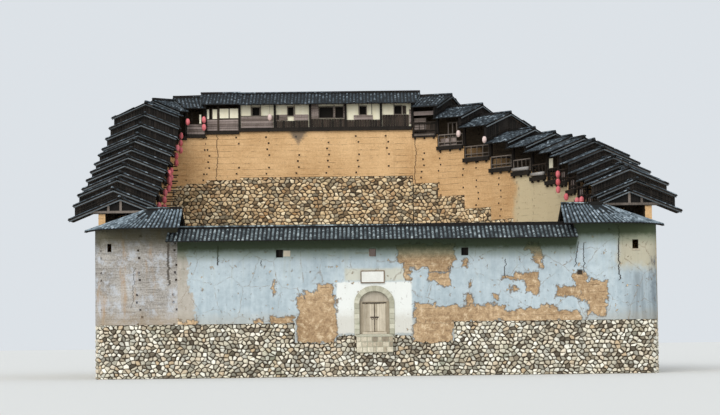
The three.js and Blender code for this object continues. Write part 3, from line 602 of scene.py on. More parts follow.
def copyOfNode(name, pieceName):  # a merged copy of a node, its flat faces whole
    onlyActive(nodes[name])
    bpy.ops.object.duplicate()
    piece = bpy.context.object
    piece.parent = None
    for key in list(piece.keys()):
        del piece[key]
    piece.name = pieceName
    editAll()
    bpy.ops.mesh.remove_doubles(threshold=0.0002)
    bpy.ops.mesh.dissolve_limited(angle_limit=math.radians(0.4))
    leaveEdit()
    return piece


def flatFaces(piece, test):  # [(normal, corners)] of the faces that pass the test
    spots = np.array([corner.co for corner in piece.data.vertices])
    faces = [face for face in piece.data.polygons if test(face)]
    return [(np.array(face.normal), spots[list(face.vertices)]) for face in faces]


def throwAway(piece):
    bpy.data.objects.remove(piece)


def dress(piece, *names):  # its finishes, in place of those it had
    piece.data.materials.clear()
    for name in names:
        piece.data.materials.append(looks[name])


def paintFaces(piece, isSecond):  # the second finish on the faces that pass the test
    for face in piece.data.polygons:
        face.material_index = 1 if isSecond(face) else 0


def ride(piece, body="fort", replaced=()):
    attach(piece, body)
    if replaced:
        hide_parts(*replaced)


def meshPiece(name, spots, loops, totals, smooth, tones, look):  # a piece from its arrays
    mesh = bpy.data.meshes.new(name)
    mesh.vertices.add(len(spots))
    mesh.vertices.foreach_set("co", spots.ravel().astype(np.float32))
    mesh.loops.add(len(loops))
    mesh.loops.foreach_set("vertex_index", loops.astype(np.int32))
    mesh.polygons.add(len(totals))
    starts = np.concatenate([[0], np.cumsum(totals)[:-1]])
    mesh.polygons.foreach_set("loop_start", starts.astype(np.int32))
    mesh.polygons.foreach_set("loop_total", totals.astype(np.int32))
    mesh.polygons.foreach_set("use_smooth", smooth)
    mesh.update(calc_edges=True)
    mesh.attributes.new("tone", "FLOAT", "POINT").data.foreach_set("value", tones.astype(np.float32))
    mesh.materials.append(looks[look])
    piece = bpy.data.objects.new(name, mesh)
    bpy.context.scene.collection.objects.link(piece)
    return piece


def addPattern(name, shape, **settings):  # one shape at its size and place, to be copied
    bpy.ops.object.select_all(action="DESELECT")
    shape(**settings)
    pattern = bpy.context.object
    pattern.name = name
    bpy.ops.object.transform_apply(location=True, rotation=True, scale=True)
    return pattern


patternBevel = 0.1


def timberPattern():  # a unit block with eased edges
    pattern = addPattern("timber_pattern", bpy.ops.mesh.primitive_cube_add, size=1)
    editAll()
    bpy.ops.mesh.bevel(offset=patternBevel, segments=1, affect="EDGES")
    leaveEdit()
    return pattern


timber = timberPattern()


class Copies:  # stretched and turned copies of a unit shape, joined into one piece
    def __init__(self):
        self.places, self.turns, self.sizes, self.tones = [], [], [], []

    def add(self, spot, turn, size, tone=None):  # the spot in the model, the size a real one
        self.places.append(spot)
        self.turns.append(turn)
        self.sizes.append(size)
        self.tones.append(dice.random() if tone is None else tone)

    def join(self, name, pattern, look, edge=0.0):  # with an edge, the bevels get that width
        corners = np.array([corner.co for corner in pattern.data.vertices])
        sizes = (np.array(self.sizes) * half)[:, None, :]
        local = corners[None] * sizes
        if edge:
            inset = (0.5 - np.abs(corners)) / patternBevel
            local = np.sign(corners)[None] * (sizes / 2 - inset[None] * edge * half)
        spots = np.einsum("nij,nvj->nvi", np.array(self.turns), local) + np.array(self.places)[:, None, :]
        flats, count, each = pattern.data.polygons, len(self.places), len(corners)
        loops = np.array([i for face in flats for i in face.vertices])
        totals = np.array([len(face.vertices) for face in flats])
        smooth = np.array([face.use_smooth for face in flats])
        loops = (loops[None] + each * np.arange(count)[:, None]).ravel()
        return meshPiece(name, spots.reshape(-1, 3), loops, np.tile(totals, count), np.tile(smooth, count),
                         np.repeat(self.tones, each), look)


class Timbers(Copies):  # beams and boards between real places
    def beam(self, start, end, wide, high, up=(0, 0, 1), tone=None):
        start, end, up = (np.asarray(v, float) for v in (start, end, up))
        length = np.linalg.norm(end - start)
        along = (end - start) / length
        side = unit(np.cross(up, along))
        turn = np.column_stack([side, along, np.cross(side, along)])
        self.add(place((start + end) / 2), turn, (wide, length, high), tone)

    def box(self, x0, x1, y0, y1, z0, z1, tone=None):
        centre = ((x0 + x1) / 2, (y0 + y1) / 2, (z0 + z1) / 2)
        self.add(place(centre), np.eye(3), (x1 - x0, y1 - y0, z1 - z0), tone)

    def boxes(self, rows, x=0.0):
        for x0, x1, *rest in rows:
            self.box(x + x0, x + x1, *rest)

    def piece(self, name, look, slot, edge=0.012, body="fort"):
        ride(self.join(name, timber, look, edge), body)


# ---- camera and light
view = {"place": (-1.1, -150, 2.6), "lens": 105, "pitch": 3.61, "roll": -0.69, "clip": (1, 600)}
light = {
    "sky": ((0.90, 0.95, 1.0, 1), 0.8), "colour": (1.0, 0.97, 0.92),
    # name, energy, spread, tilt and turn in degrees
    "suns": [("soft_sun", 1.2, 35, 52, -22), ("low_fill", 0.98, 45, 77, -8)],
    "floor": (0.72, 0.72, 0.70, 1), "floorWide": 700,
}


def addCamera():
    data = bpy.data.cameras.new("view")
    data.lens = view["lens"]
    data.sensor_width = 36
    data.clip_start, data.clip_end = view["clip"]
    camera = bpy.data.objects.new("view", data)
    bpy.context.scene.collection.objects.link(camera)
    tilt = Matrix.Rotation(math.radians(90 + view["pitch"]), 4, "X")
    roll = Matrix.Rotation(math.radians(view["roll"]), 4, "Z")
    camera.matrix_world = Matrix.Translation(at(*view["place"])) @ tilt @ roll
    bpy.context.scene.camera = camera


def addLight():
    world = bpy.data.worlds.new("pale_sky")
    world.use_nodes = True
    sky = world.node_tree.nodes["Background"]
    sky.inputs["Color"].default_value, sky.inputs["Strength"].default_value = light["sky"]
    bpy.context.scene.world = world
    for name, energy, spread, tilt, turn in light["suns"]:
        data = bpy.data.lights.new(name, "SUN")
        data.energy = energy
        data.angle = math.radians(spread)
        data.color = light["colour"]
        sun = bpy.data.objects.new(name, data)
        sun.rotation_euler = (math.radians(tilt), 0, math.radians(turn))
        bpy.context.scene.collection.objects.link(sun)


def addFloor():
    bpy.ops.object.select_all(action="DESELECT")
    bpy.ops.mesh.primitive_plane_add(size=light["floorWide"], location=(0, 0, 0))
    floor = bpy.context.object
    floor.name = "floor"
    finish = Finish("pale_floor", 0.95)
    finish.shader.inputs["Base Color"].default_value = light["floor"]
    floor.data.materials.append(finish.material)


addCamera()
addLight()
addFloor()
bpy.context.scene.view_settings.view_transform = "Standard"
print("camera, light and floor")


# ---- the ring of galleries, as the bays that the walls and roofs are made of
ring = {
    "sideRidgeX": 19.35, "start": 3.0, "bay": 2.5, "leftEnd": (-18.7, 32.3),
    "outerFace": 0.85, "innerFace": -2.15, "fall": 0.41, "leftStorey": 3.35, "rightStorey": 3.45,
    "left": [13.25, 14.1, 15.05, 15.7, 16.55, 17.4, 18.25, 19.2, 19.9, 21.0, 22.15, 23.35],
    # the other bays: X and Y of the far end, ridge and, where it isn't a storey lower, floor
    "rearLeft": [(-17.0, 33.6, 23.8, 20.3), (-14.6, 34.0, 24.12, 20.5), (-11.5, 34.0, 24.45, 20.8)],
    "rear": [(3.9, 34.0, 24.4, 21.0)],
    "sweep": [(6.7, 33.0, 24.0, 20.3), (9.3, 31.0, 22.9, 19.1), (11.6, 28.6, 21.9, 17.9),
              (13.45, 26.2, 20.3, 16.8), (14.95, 23.8, 19.7, 16.3), (16.1, 21.5, 19.15, 15.7),
              (16.95, 19.4, 18.85, 15.2)],
    "right": [(17.55, 17.2, 18.4), (18.05, 15.0, 17.6), (18.5, 12.6, 16.7), (18.85, 10.2, 15.9),
              (19.15, 7.8, 15.4), (19.35, 5.4, 14.35), (19.35, 3.0, 13.4)],
}


def ringBays():  # each bay: side, its two ends with mitres, ridge, floor, direction and length
    points = [(-ring["sideRidgeX"], ring["start"] + ring["bay"] * i) for i in range(len(ring["left"]))]
    points.append(ring["leftEnd"])
    rows = [("left", ridge, ridge - ring["leftStorey"]) for ridge in ring["left"]]
    for side in ("rearLeft", "rear", "sweep", "right"):
        for x, y, ridge, *floor in ring[side]:
            points.append((x, y))
            rows.append((side, ridge, floor[0] if floor else ridge - ring["rightStorey"]))
    points = np.array(points, float)
    steps = np.diff(points, axis=0)
    lengths = np.linalg.norm(steps, axis=1)
    alongs = steps / lengths[:, None]
    outs = np.column_stack([-alongs[:, 1], alongs[:, 0]])
    joins = [(before + after) / (1 + before @ after) for before, after in neighbours(outs)]
    ends = neighbours(list(zip(points, [outs[0], *joins, outs[-1]])))
    made = []
    for (side, ridge, floor), both, along, length in zip(rows, ends, alongs, lengths):
        bay = {"side": side, "ridge": ridge, "floor": floor, "ends": both}
        made.append({**bay, "along": np.array([*along, 0]), "length": length})
    return made


def onBay(bay, share, across, z):  # a real place in a bay: share of its length, metres across, level
    (p0, m0), (p1, m1) = bay["ends"]
    spot = (p0 + m0 * across) * (1 - share) + (p1 + m1 * across) * share
    return np.array([spot[0], spot[1], z])


bays = ringBays()


# ---- roofs: thin slabs, rows of cover tiles, ridge tiles and rafters
roof = {
    "slab": 0.22, "drop": 0.09, "under": 0.085, "rowEvery": 0.30, "rowInset": 0.09,
    "shortestRow": 0.12, "course": 0.21, "eaveInset": 0.02,
    "tile": (0.17, 0.25, 0.085), "ridgeTile": (0.24, 0.22, 0.11), "ridgeEvery": 0.19, "ridgeSink": 0.11,
    "wobble": (0.02, 0.01, 0.05), "rafterEvery": 0.5, "rafterInset": 0.05, "rafter": (0.09, 0.08),
    "shortestRafter": 0.3, "rafterTop": 0.06, "rafterFoot": 0.03, "clear": 0.001,
    # how far from the apex a fanned row starts, for every so many rows
    "fan": ((8, 0.04), (4, 0.17), (2, 0.32), (1, 0.5)), "fanShift": 0.28, "fanBlend": 0.8,
    "front": ["front_roof", "corner_roof_left", "corner_roof_right"],
    "sides": ["left_roof", "rear_left_roof", "rear_roof", "rear_right_roof", "right_roof"],
}


def isTopSlope(face):
    return 0.8 < face.normal.z < 0.985


def isUnderSlope(face):
    return -0.985 < face.normal.z < -0.8


def thinRoof(name):  # the roof's own slab, its top sunk under the tiles, its underside lifted
    piece = copyOfNode(name, name + "_slab")
    slopes = flatFaces(piece, isTopSlope)
    caps = flatFaces(piece, lambda face: face.normal.z > 0.999 and face.area > 0.05)
    moveFaces(piece, isTopSlope, -roof["drop"])
    moveFaces(piece, isUnderSlope, roof["under"])
    # the slab's top as the shaded under-tiles, its edges and underside near black as painted shade under the
    # eaves
    dress(piece, "deck", "soot")
    paintFaces(piece, lambda face: face.normal.z <= 0.5)
    ride(piece, "fort", [name])
    return slopes, caps


def tilePattern():  # a half-round cover tile, its lower end raised and wider
    settings = {"vertices": 10, "radius": 0.5, "depth": 1, "rotation": (math.radians(90), 0, 0)}
    pattern = addPattern("tile_pattern", bpy.ops.mesh.primitive_cylinder_add, **settings)
    editAll()
    bpy.ops.mesh.bisect(plane_co=(0, 0, 0), plane_no=(0, 0, 1), use_fill=True, clear_inner=True)
    leaveEdit()
    for corner in pattern.data.vertices:  # flattened, and tapered towards the ridge
        lower = corner.co.y > 0
        corner.co.z *= 2.0 if lower else 1.6
        corner.co.x *= 1.0 if lower else 0.82
    return pattern


tile = tilePattern()


def spansAcross(corners, u, across, down):  # where the line at u crosses a face, as pairs of down values
    us, vs = corners @ across, corners @ down
    cuts = []
    for i in range(len(us)):
        a, b = us[i - 1], us[i]
        if (a - u) * (b - u) < 0:
            cuts.append(vs[i - 1] + (vs[i] - vs[i - 1]) * (u - a) / (b - a))
    cuts.sort()
    return list(zip(cuts[::2], cuts[1::2]))


def slopeLines(normal, corners, every, inset, shortest):  # top and foot of evenly spaced lines down a slope
    down = unit(np.array([normal[0], normal[1], -(normal[0] ** 2 + normal[1] ** 2) / normal[2]]))
    across = np.cross(down, normal)
    us = corners @ across
    width = us.max() - us.min() - 2 * inset
    rows = max(int(round(width / every)), 1)
    origin = corners[0] - across * us[0] - down * (corners[0] @ down)
    for k in range(rows + 1):
        u = us.min() + inset + width * k / rows
        for v0, v1 in spansAcross(corners, u, across, down):
            if v1 - v0 > shortest:
                yield origin + across * u + down * v0, origin + across * u + down * v1


def tileRow(tiles, top, bottom, normal):  # courses of one row, from the eave up
    length = np.linalg.norm(bottom - top)
    down = (bottom - top) / length
    across = unit(np.cross(down, normal))
    up = np.cross(across, down)
    course, reach = roof["course"] * half, roof["tile"][1] * half
    for k in range(max(int((length - reach * 0.4) / course), 1)):
        sideways, ahead, turn = (dice.random(3) - 0.5) * roof["wobble"]
        downAt = length - reach / 2 - k * course - roof["eaveInset"] * half + ahead
        spot = top + down * downAt + across * sideways * half - up * (roof["drop"] * half + roof["clear"])
        acrossTile = across * math.cos(turn) + down * math.sin(turn)
        downTile = down * math.cos(turn) - across * math.sin(turn)
        tiles.add(spot, np.column_stack([acrossTile, downTile, up]), roof["tile"])


def addRafters(timbers, normal, corners):
    wide, high = roof["rafter"]
    sink = normal * (((roof["slab"] - roof["under"]) * normal[2] + high / 2) * half + roof["clear"])
    every, inset, shortest = roof["rafterEvery"] * half, roof["rafterInset"], roof["shortestRafter"]
    for top, foot in slopeLines(normal, corners, every, inset, shortest):
        down = unit(foot - top)
        start = top + down * roof["rafterTop"] - sink
        end = foot - down * roof["rafterFoot"] - sink
        timbers.beam((start - middle) / half, (end - middle) / half, wide, high, normal)


def ridgeRow(tiles, corners):  # half-round tiles along a ridge cap
    centre = corners.mean(0)
    edge = corners - centre
    long = edge[np.argmax(np.linalg.norm(edge, axis=1))]
    ends = edge @ unit(long)
    direction = np.array([long[0], long[1], 0]) / np.linalg.norm(long[:2])
    turn = np.column_stack([np.cross(direction, (0, 0, 1)), direction, (0, 0, 1)])
    length = ends.max() - ends.min()
    count = max(int(length / (roof["ridgeEvery"] * half)), 1)
    sunk = np.array([0, 0, roof["ridgeSink"] * half])
    for k in range(count):
        t = ends.min() + length * (k + 0.5) / count
        tiles.add(centre + direction * t - sunk, turn, roof["ridgeTile"])


def fanRows(tiles, apex, ridgeEnd, eaves):  # the corner roofs: rows fan out round the bend
    lengths = np.concatenate([[0], np.cumsum(np.linalg.norm(np.diff(eaves, axis=0), axis=1))])
    count = int(lengths[-1] / (roof["rowEvery"] * half))
    straight = lengths[1]
    for k in range(count + 1):
        t = min(lengths[-1] - 0.03, 0.04 + lengths[-1] * k / count)
        i = int(np.searchsorted(lengths, t) - 1)
        share = (t - lengths[i]) / (lengths[i + 1] - lengths[i])
        foot = eaves[i] * (1 - share) + eaves[i + 1] * share
        normal = unit(np.cross(eaves[i] - apex, eaves[i + 1] - apex))
        if t < straight:
            head = ridgeEnd + (apex - ridgeEnd) * (1 - roof["fanShift"]) * t / straight
        else:
            cut = next(cut for every, cut in roof["fan"] if k % every == 0)
            fade = max(1 - (t - straight) / (roof["fanBlend"] * straight), 0)
            head = apex + (foot - apex) * cut + (ridgeEnd - apex) * roof["fanShift"] * fade * (1 - cut)
        tileRow(tiles, head, foot, normal if normal[2] > 0 else -normal)


def cornerFan(side, slopes):  # apex, ridge end and eave points, read from the corner roof's slopes
    points = np.concatenate([corners for _, corners in slopes])
    eaves = np.unique(np.round(points[points[:, 2] < points[:, 2].min() + 0.002], 4), axis=0)
    eaves = eaves[np.argsort(side * eaves[:, 0] + eaves[:, 1])]
    top = points[points[:, 2] > points[:, 2].max() - 0.03]
    return top[np.argmax(side * top[:, 0])], top[np.argmin(side * top[:, 0])], eaves


def addRoofs():
    rafters = Timbers()
    for group, look, slot in (("front", "frontTile", "front_tile"), ("sides", "sideTile", "tile")):
        ridges = Copies()
        for name in roof[group]:
            tiles = Copies()
            slopes, caps = thinRoof(name)
            corner = name.startswith("corner")
            if corner:
                fanRows(tiles, *cornerFan(-1 if name.endswith("left") else 1, slopes))
            for normal, corners in slopes:
                if not corner or normal[1] > 0.2:
                    every, inset = roof["rowEvery"] * half, roof["rowInset"] * half
                    for top, foot in slopeLines(normal, corners, every, inset, roof["shortestRow"]):
                        tileRow(tiles, top, foot, normal)
                addRafters(rafters, normal, corners)
            for _, corners in caps:
                ridgeRow(ridges, corners)
            ride(tiles.join(name + "_tiles", tile, "cornerTile" if corner else look))
            print("roof", name, len(tiles.places), "tiles")
        ride(ridges.join(group + "_ridge_tiles", tile, look))
    rafters.piece("rafters", "timber", "timber", 0.008)


addRoofs()


# ---- rubble: each stone is a cell between its neighbours, with its face in the wall's own plane
rubble = {
    "front": {"pitch": 0.28, "longer": 1.2}, "courtyard": {"pitch": 0.31, "longer": 1.3},
    "outside": {"pitch": 0.5, "longer": 1.3}, "smallest": 0.06, "recess": 0.085,
    "scatter": 0.75, "joint": 0.024, "ragged": 0.14, "lean": (0.3, 1.2), "squeeze": (0.62, 0.95),
    "tilt": 0.25, "step": 0.03, "crown": 0.022,
    # share of the size, how far it stands out, share of the tilt
    "rings": [(0.70, 0.008, 1), (1.0, -0.045, 1), (0.92, -0.17, 0)],
    "frontTop": 3.85, "cornerX": 19.1, "rounding": 1.1, "frontDepth": 3.0,
    "gateLeft": -1.6, "gateRight": 1.28,
    "behind": [(17.2, 0.9), (-1.22, -17.2)], "earthHeight": 4.2, "leftBays": 16,
    "underGate": [(1.28, 3.0), (1.14, 1.7), (-1.46, 3.0), (-1.6, 3.0)], "underGateY": -0.05,
}


def cornerArc(side):
    r, x = rubble["rounding"], rubble["cornerX"]
    return [(side * (x + r * math.sin(t)), r - r * math.cos(t)) for t in np.linspace(0, math.pi / 2, 6)]


# Stretches of a face, each with its start, its end and its top level
def bayStretches(across, some):
    stretches = []
    for bay in some:
        start, end = (onBay(bay, share, across, 0)[:2] for share in (0, 1))
        stretches.append((start, end, bay["floor"] - rubble["earthHeight"]))
    return stretches


def frontStretches():
    edge, outerX = rubble["frontDepth"], rubble["cornerX"] + rubble["rounding"]
    left = [(rubble["gateLeft"], 0.0), *cornerArc(-1), (-outerX, edge)]
    right = [(outerX, edge), *cornerArc(1)[::-1], (rubble["gateRight"], 0.0)]
    return [[(a, b, rubble["frontTop"]) for a, b in neighbours(points)] for points in (left, right)]


def underGate():  # the stones below the step, a little proud of the sill block that carries them
    y = rubble["underGateY"]
    return [((a, y), (b, y), top) for (a, top), (b, _) in neighbours(rubble["underGate"])]


def gapsBehindFront():
    depth, top = rubble["frontDepth"], rubble["frontTop"]
    return [[((start, depth), (end, depth), top)] for start, end in rubble["behind"]]


class Face:  # a chain of stretches unrolled: metres along it, metres up
    def __init__(self, stretches, outward):
        self.starts = np.array([a for a, _, _ in stretches])
        ends = np.array([b for _, b, _ in stretches])
        self.tops = np.array([top for _, _, top in stretches])
        lengths = np.linalg.norm(ends - self.starts, axis=1)
        self.marks = np.concatenate([[0], np.cumsum(lengths)])
        self.alongs = (ends - self.starts) / lengths[:, None]
        self.normals = np.column_stack([-self.alongs[:, 1], self.alongs[:, 0]]) * outward
        self.outward = outward

    def stretchAt(self, s):
        return np.clip(np.searchsorted(self.marks, s) - 1, 0, len(self.tops) - 1)

    def spots(self, s, proud, z):  # real places
        k = self.stretchAt(s)
        flat = self.starts[k] + self.alongs[k] * (s - self.marks[k])[:, None]
        return np.column_stack([flat + self.normals[k] * proud[:, None], z])

    def holds(self, spot, normal):  # True where a flat place with this normal belongs to the face
        for k in range(len(self.tops)):
            away = spot - self.starts[k]
            near = -0.2 < away @ self.alongs[k] < self.marks[k + 1] - self.marks[k] + 0.2
            if near and abs(away @ self.normals[k]) < 0.1 and normal @ self.normals[k] > 0.93:
                return True
        return False


def trimmed(outline, x, z, nx, nz):  # what a convex outline has on the near side of a line
    kept = []
    sides = [(px - x) * nx + (pz - z) * nz for px, pz in outline]
    for i, ((px, pz), side) in enumerate(zip(outline, sides)):
        (beforeX, beforeZ), was = outline[i - 1], sides[i - 1]
        if (side > 0) != (was > 0):
            share = was / (was - side)
            kept.append((beforeX + (px - beforeX) * share, beforeZ + (pz - beforeZ) * share))
        if side <= 0:
            kept.append((px, pz))
    return kept


def stoneOutlines(face, kind):  # the cells round scattered seeds, cut to the face
    pitch, longer = kind["pitch"], kind["longer"]
    length = face.marks[-1] / longer
    columns, rows = int(length / pitch) + 2, int(face.tops.max() / pitch) + 2
    grid = np.stack(np.meshgrid(np.arange(columns), np.arange(rows)), -1).astype(float)
    grid[1::2, :, 0] += 0.5
    seeds = (grid + (dice.random(grid.shape) - 0.5) * rubble["scatter"]) * pitch
    outlines = []
    for row in range(rows):
        for column in range(columns):
            x, z = seeds[row, column]
            top = face.tops[face.stretchAt(x * longer)]
            if z > top + pitch * 0.5 or x > length + pitch * 0.5:
                continue
            reach = pitch * 1.4
            outline = [(x + i * reach, z + j * reach) for i, j in ((-1, -1), (1, -1), (1, 1), (-1, 1))]
            near = seeds[max(row - 2, 0):row + 3, max(column - 2, 0):column + 3]
            for nearX, nearZ in near.reshape(-1, 2):
                dx, dz = nearX - x, nearZ - z
                if dx or dz:
                    outline = trimmed(outline, x + dx / 2, z + dz / 2, dx, dz)
            for edge in ((0, 0, 0, -1), (0, top, 0, 1), (0, 0, -1, 0), (length, 0, 1, 0)):
                outline = trimmed(outline, *edge)
            outline = np.array(outline).reshape(-1, 2) * (longer, 1)
            if len(outline) > 2 and np.ptp(outline, axis=0).min() > rubble["smallest"]:
                outlines.append(outline)
    return outlines


def stoneBody(stones, face, outline):  # a crowned face, a rim and a back inside the wall
    centre = outline.mean(0)
    away = outline - centre
    size = np.linalg.norm(away, axis=1).mean()
    ragged = (dice.random(len(away)) - 0.5) * rubble["ragged"]
    away *= (1 - rubble["joint"] / size) * (1 + ragged)[:, None]
    lean = dice.uniform(*rubble["lean"]) * dice.choice([-1, 1])
    thin = np.array([-math.sin(lean), math.cos(lean)])
    away -= np.outer(away @ thin, thin) * (1 - dice.uniform(*rubble["squeeze"]))
    if face.outward > 0:
        away = away[::-1]
    tilt = (dice.random(2) - 0.5) * rubble["tilt"]
    step = (dice.random() - 0.5) * rubble["step"]
    count = len(away)
    for share, proud, tilted in rubble["rings"]:
        x, z = (centre + away * share).T
        stones["flat"].append(np.column_stack([x, away @ tilt * tilted + proud + step, z]))
    stones["flat"].append([[centre[0], rubble["crown"] + step, centre[1]]])
    base, here = stones["count"], np.arange(count)
    after = (here + 1) % count
    front, rim, back = base, base + count, base + 2 * count
    fan = np.column_stack([front + here, front + after, np.full(count, base + 3 * count)])
    quads = [np.column_stack([low + here, low + after, high + after, high + here])
             for low, high in ((rim, front), (back, rim))]
    for group in (fan, *quads, (back + here[::-1])[None]):
        stones["loops"].append(group.ravel())
        stones["totals"].append(np.full(len(group), group.shape[1]))
    stones["tones"].append(np.full(3 * count + 1, dice.random()))
    stones["count"] += 3 * count + 1


def addStones(name, faces, kind, look):
    parts = {"spots": [], "loops": [], "totals": [], "tones": []}
    base, amount = 0, 0
    for face in faces:
        stones = {"flat": [], "loops": [], "totals": [], "tones": [], "count": base}
        outlines = stoneOutlines(face, rubble[kind])
        for outline in outlines:
            stoneBody(stones, face, outline)
        along, proud, z = np.concatenate(stones["flat"]).T
        parts["spots"].append(place(face.spots(along, proud, np.maximum(z, 0.004))))
        for key in ("loops", "totals", "tones"):
            parts[key] += stones[key]
        base, amount = stones["count"], amount + len(outlines)
    spots, loops, totals, tones = (np.concatenate(part) for part in parts.values())
    ride(meshPiece(name, spots, loops, totals, np.zeros(len(totals), bool), tones, look))
    print(name, amount, "stones")


def setBack(name, faces):  # a plinth with its stone faces set back, so that the joints are deep
    core = copyOfNode(name, name + "_core")
    pulls = {}
    for flat in core.data.polygons:
        normal, spot = np.array(flat.normal), (np.array(flat.center) - middle) / half
        if abs(normal[2]) < 0.1 and any(face.holds(spot[:2], normal[:2]) for face in faces):
            for i in flat.vertices:
                known = pulls.setdefault(i, [])
                if all(abs(normal @ other) < 0.998 for other in known):
                    known.append(normal)
    for i, normals in pulls.items():
        wanted = np.full(len(normals), -rubble["recess"] * half)
        move = np.linalg.lstsq(np.array(normals), wanted, rcond=None)[0]
        core.data.vertices[i].co += Vector(move)
    dress(core, "bedding")
    ride(core, "fort", [name])


def addRubble():
    front = [Face(stretches, 1) for stretches in frontStretches()]
    outside = [Face(bayStretches(ring["outerFace"], bays), 1)]
    behind = [Face(stretches, -1) for stretches in gapsBehindFront()]
    leftBays, rightBays = bays[:rubble["leftBays"]], bays[rubble["leftBays"]:]
    left, right = (Face(bayStretches(ring["innerFace"], some), -1) for some in (leftBays, rightBays))
    faces = front + outside + behind + [left, right]
    for name in [name for name in nodes if "plinth" in name]:
        setBack(name, faces)
    addStones("front_rubble", front + [Face(underGate(), 1)], "front", "frontStone")
    addStones("outer_rubble", outside, "outside", "frontStone")
    addStones("courtyard_rubble_left", [behind[1], left], "courtyard", "innerStone")
    addStones("courtyard_rubble_right", [behind[0], right], "courtyard", "innerStone")


addRubble()


# ---- gallery details: verge boards, railings, joists, panels
gallery = {
    "endCrest": -0.8, "cornerRidge": 12.25, "stepRise": 0.28, "railedRise": 0.7,
    "overhang": 0.43, "vergeReach": 2.95, "verge": (0.27, 0.05, 0.09),  # drop below the slope, width, height
    "gableFace": 0.12, "gableInset": 2.75, "gableTop": 0.24, "gableStuds": (-2.1, -1.05, 0.0, 1.05, 2.1),
    "gableBoards": 25, "gableBoard": (0.2, 0.024), "gableStud": (0.08, 0.05),
    "postFace": -2.1, "deck": 0.1, "edge": -2.4, "wallTop": -2.16,
    "paleRails": (17, 18, 19, 20), "balusters": 5, "baluster": (0.02, 0.98),
    "rails": [(1.0, 0.09), (0.34, 0.07), (0.05, 0.08)],  # level over the deck, height
    "joists": (0.12, 0.5, 0.88), "joistDrop": 0.3,
    "beams": [(0.2, 0.3), (0.45, 0.58), (0.75, 0.04)],  # share along a bay, drop below its floor
    "beamBays": (3, 10),
    "rollBays": (20, 21), "roll": (0.08, 0.9, -2.29, 0.3, 0.3),  # from, to, across, level, thickness
}


class RoofEnd:  # an end of a bay's roof that stands above the next one
    def __init__(self, bay, end, other, crest):
        self.bay, self.end, self.other, self.crest = bay, end, other, crest
        self.ahead = bay["along"] * (1 if end else -1)

    def spot(self, across, drop, out):  # a real place: metres across, below the slope, out from the gable
        level = self.bay["ridge"] - ring["fall"] * abs(across - self.crest) - drop
        return onBay(self.bay, self.end, across, level) + self.ahead * (out + gallery["gableFace"])

    def slanted(self, timbers, across, drop, out, *rest):  # a beam from the crest down the slope
        timbers.beam(self.spot(self.crest, drop, out), self.spot(across, drop, out), *rest)


def raisedEnds():
    ridges = [gallery["cornerRidge"], *(bay["ridge"] for bay in bays), gallery["cornerRidge"]]
    for i, bay in enumerate(bays):
        crest = gallery["endCrest"] if i in (0, len(bays) - 1) else 0.0
        for end, other in ((0, ridges[i]), (1, ridges[i + 2])):
            if bay["ridge"] - other >= gallery["stepRise"]:
                yield RoofEnd(bay, end, other, crest)


def addVerges():  # boards on the roofs' raised ends, and the boarded gables under them
    verges, boards, frames = Timbers(), Timbers(), Timbers()
    reach, inset = gallery["vergeReach"], gallery["gableInset"]
    past, top = gallery["overhang"] - gallery["gableFace"], gallery["gableTop"]
    drop, wide, high = gallery["verge"]
    for end in raisedEnds():
        for across in (reach, -reach):
            end.slanted(verges, across, drop, past, wide, high)
        if end.other == gallery["cornerRidge"]:
            continue
        low, along = end.bay["ridge"] - end.other - 0.03, end.bay["along"]
        for across in np.linspace(-inset, inset, gallery["gableBoards"]):
            foot, head = end.spot(across, low, 0.012), end.spot(across, top, 0.012)
            boards.beam(foot, head, *gallery["gableBoard"], along)
        for across in gallery["gableStuds"]:
            foot, head = end.spot(across, low, 0.03), end.spot(across, top + 0.02, 0.03)
            frames.beam(foot, head, *gallery["gableStud"], along, 0.0)
        for across in (inset, -inset):
            end.slanted(frames, across, 0.34, 0.05, 0.05, 0.09)
            if low > gallery["railedRise"]:
                end.slanted(frames, across, low - 0.2, 0.05, 0.05, 0.07, (0, 0, 1), 0.0)
    verges.piece("verge_boards", "verge", "timber")
    # the boarded gables in near-black timber, as painted shade inside the open galleries
    boards.piece("gable_boards", "soot", "timber")
    frames.piece("gable_rails", "timber", "timber")


# Makers of timbers in a bay: shares are along it, low and high are over its floor
def rail(timbers, bay, share0, share1, across, level, wide, high):
    start, end = (onBay(bay, share, across, bay["floor"] + level) for share in (share0, share1))
    timbers.beam(start, end, wide, high)


def outrigger(timbers, bay, share, across0, across1, level, wide, high):
    start, end = (onBay(bay, share, across, bay["floor"] + level) for across in (across0, across1))
    timbers.beam(start, end, wide, high)


def post(timbers, bay, share, across, low, high, wide, thick=None):
    foot = onBay(bay, share, across, bay["floor"] + low)
    timbers.beam(foot, foot + np.array([0, 0, high - low]), wide, thick or wide, bay["along"])


def upright(timbers, bay, share0, share1, across, low, high, count):
    gap, step = 0.006 / bay["length"], (share1 - share0) / count
    for a in (share0 + step * k for k in range(count)):
        rail(timbers, bay, a + gap, a + step - gap, across, (low + high) / 2, 0.04, high - low)


def lying(timbers, bay, share0, share1, across, low, high, count):
    step = (high - low) / count
    for k in range(count):
        rail(timbers, bay, share0, share1, across, low + (k + 0.5) * step, 0.04, step - 0.024)


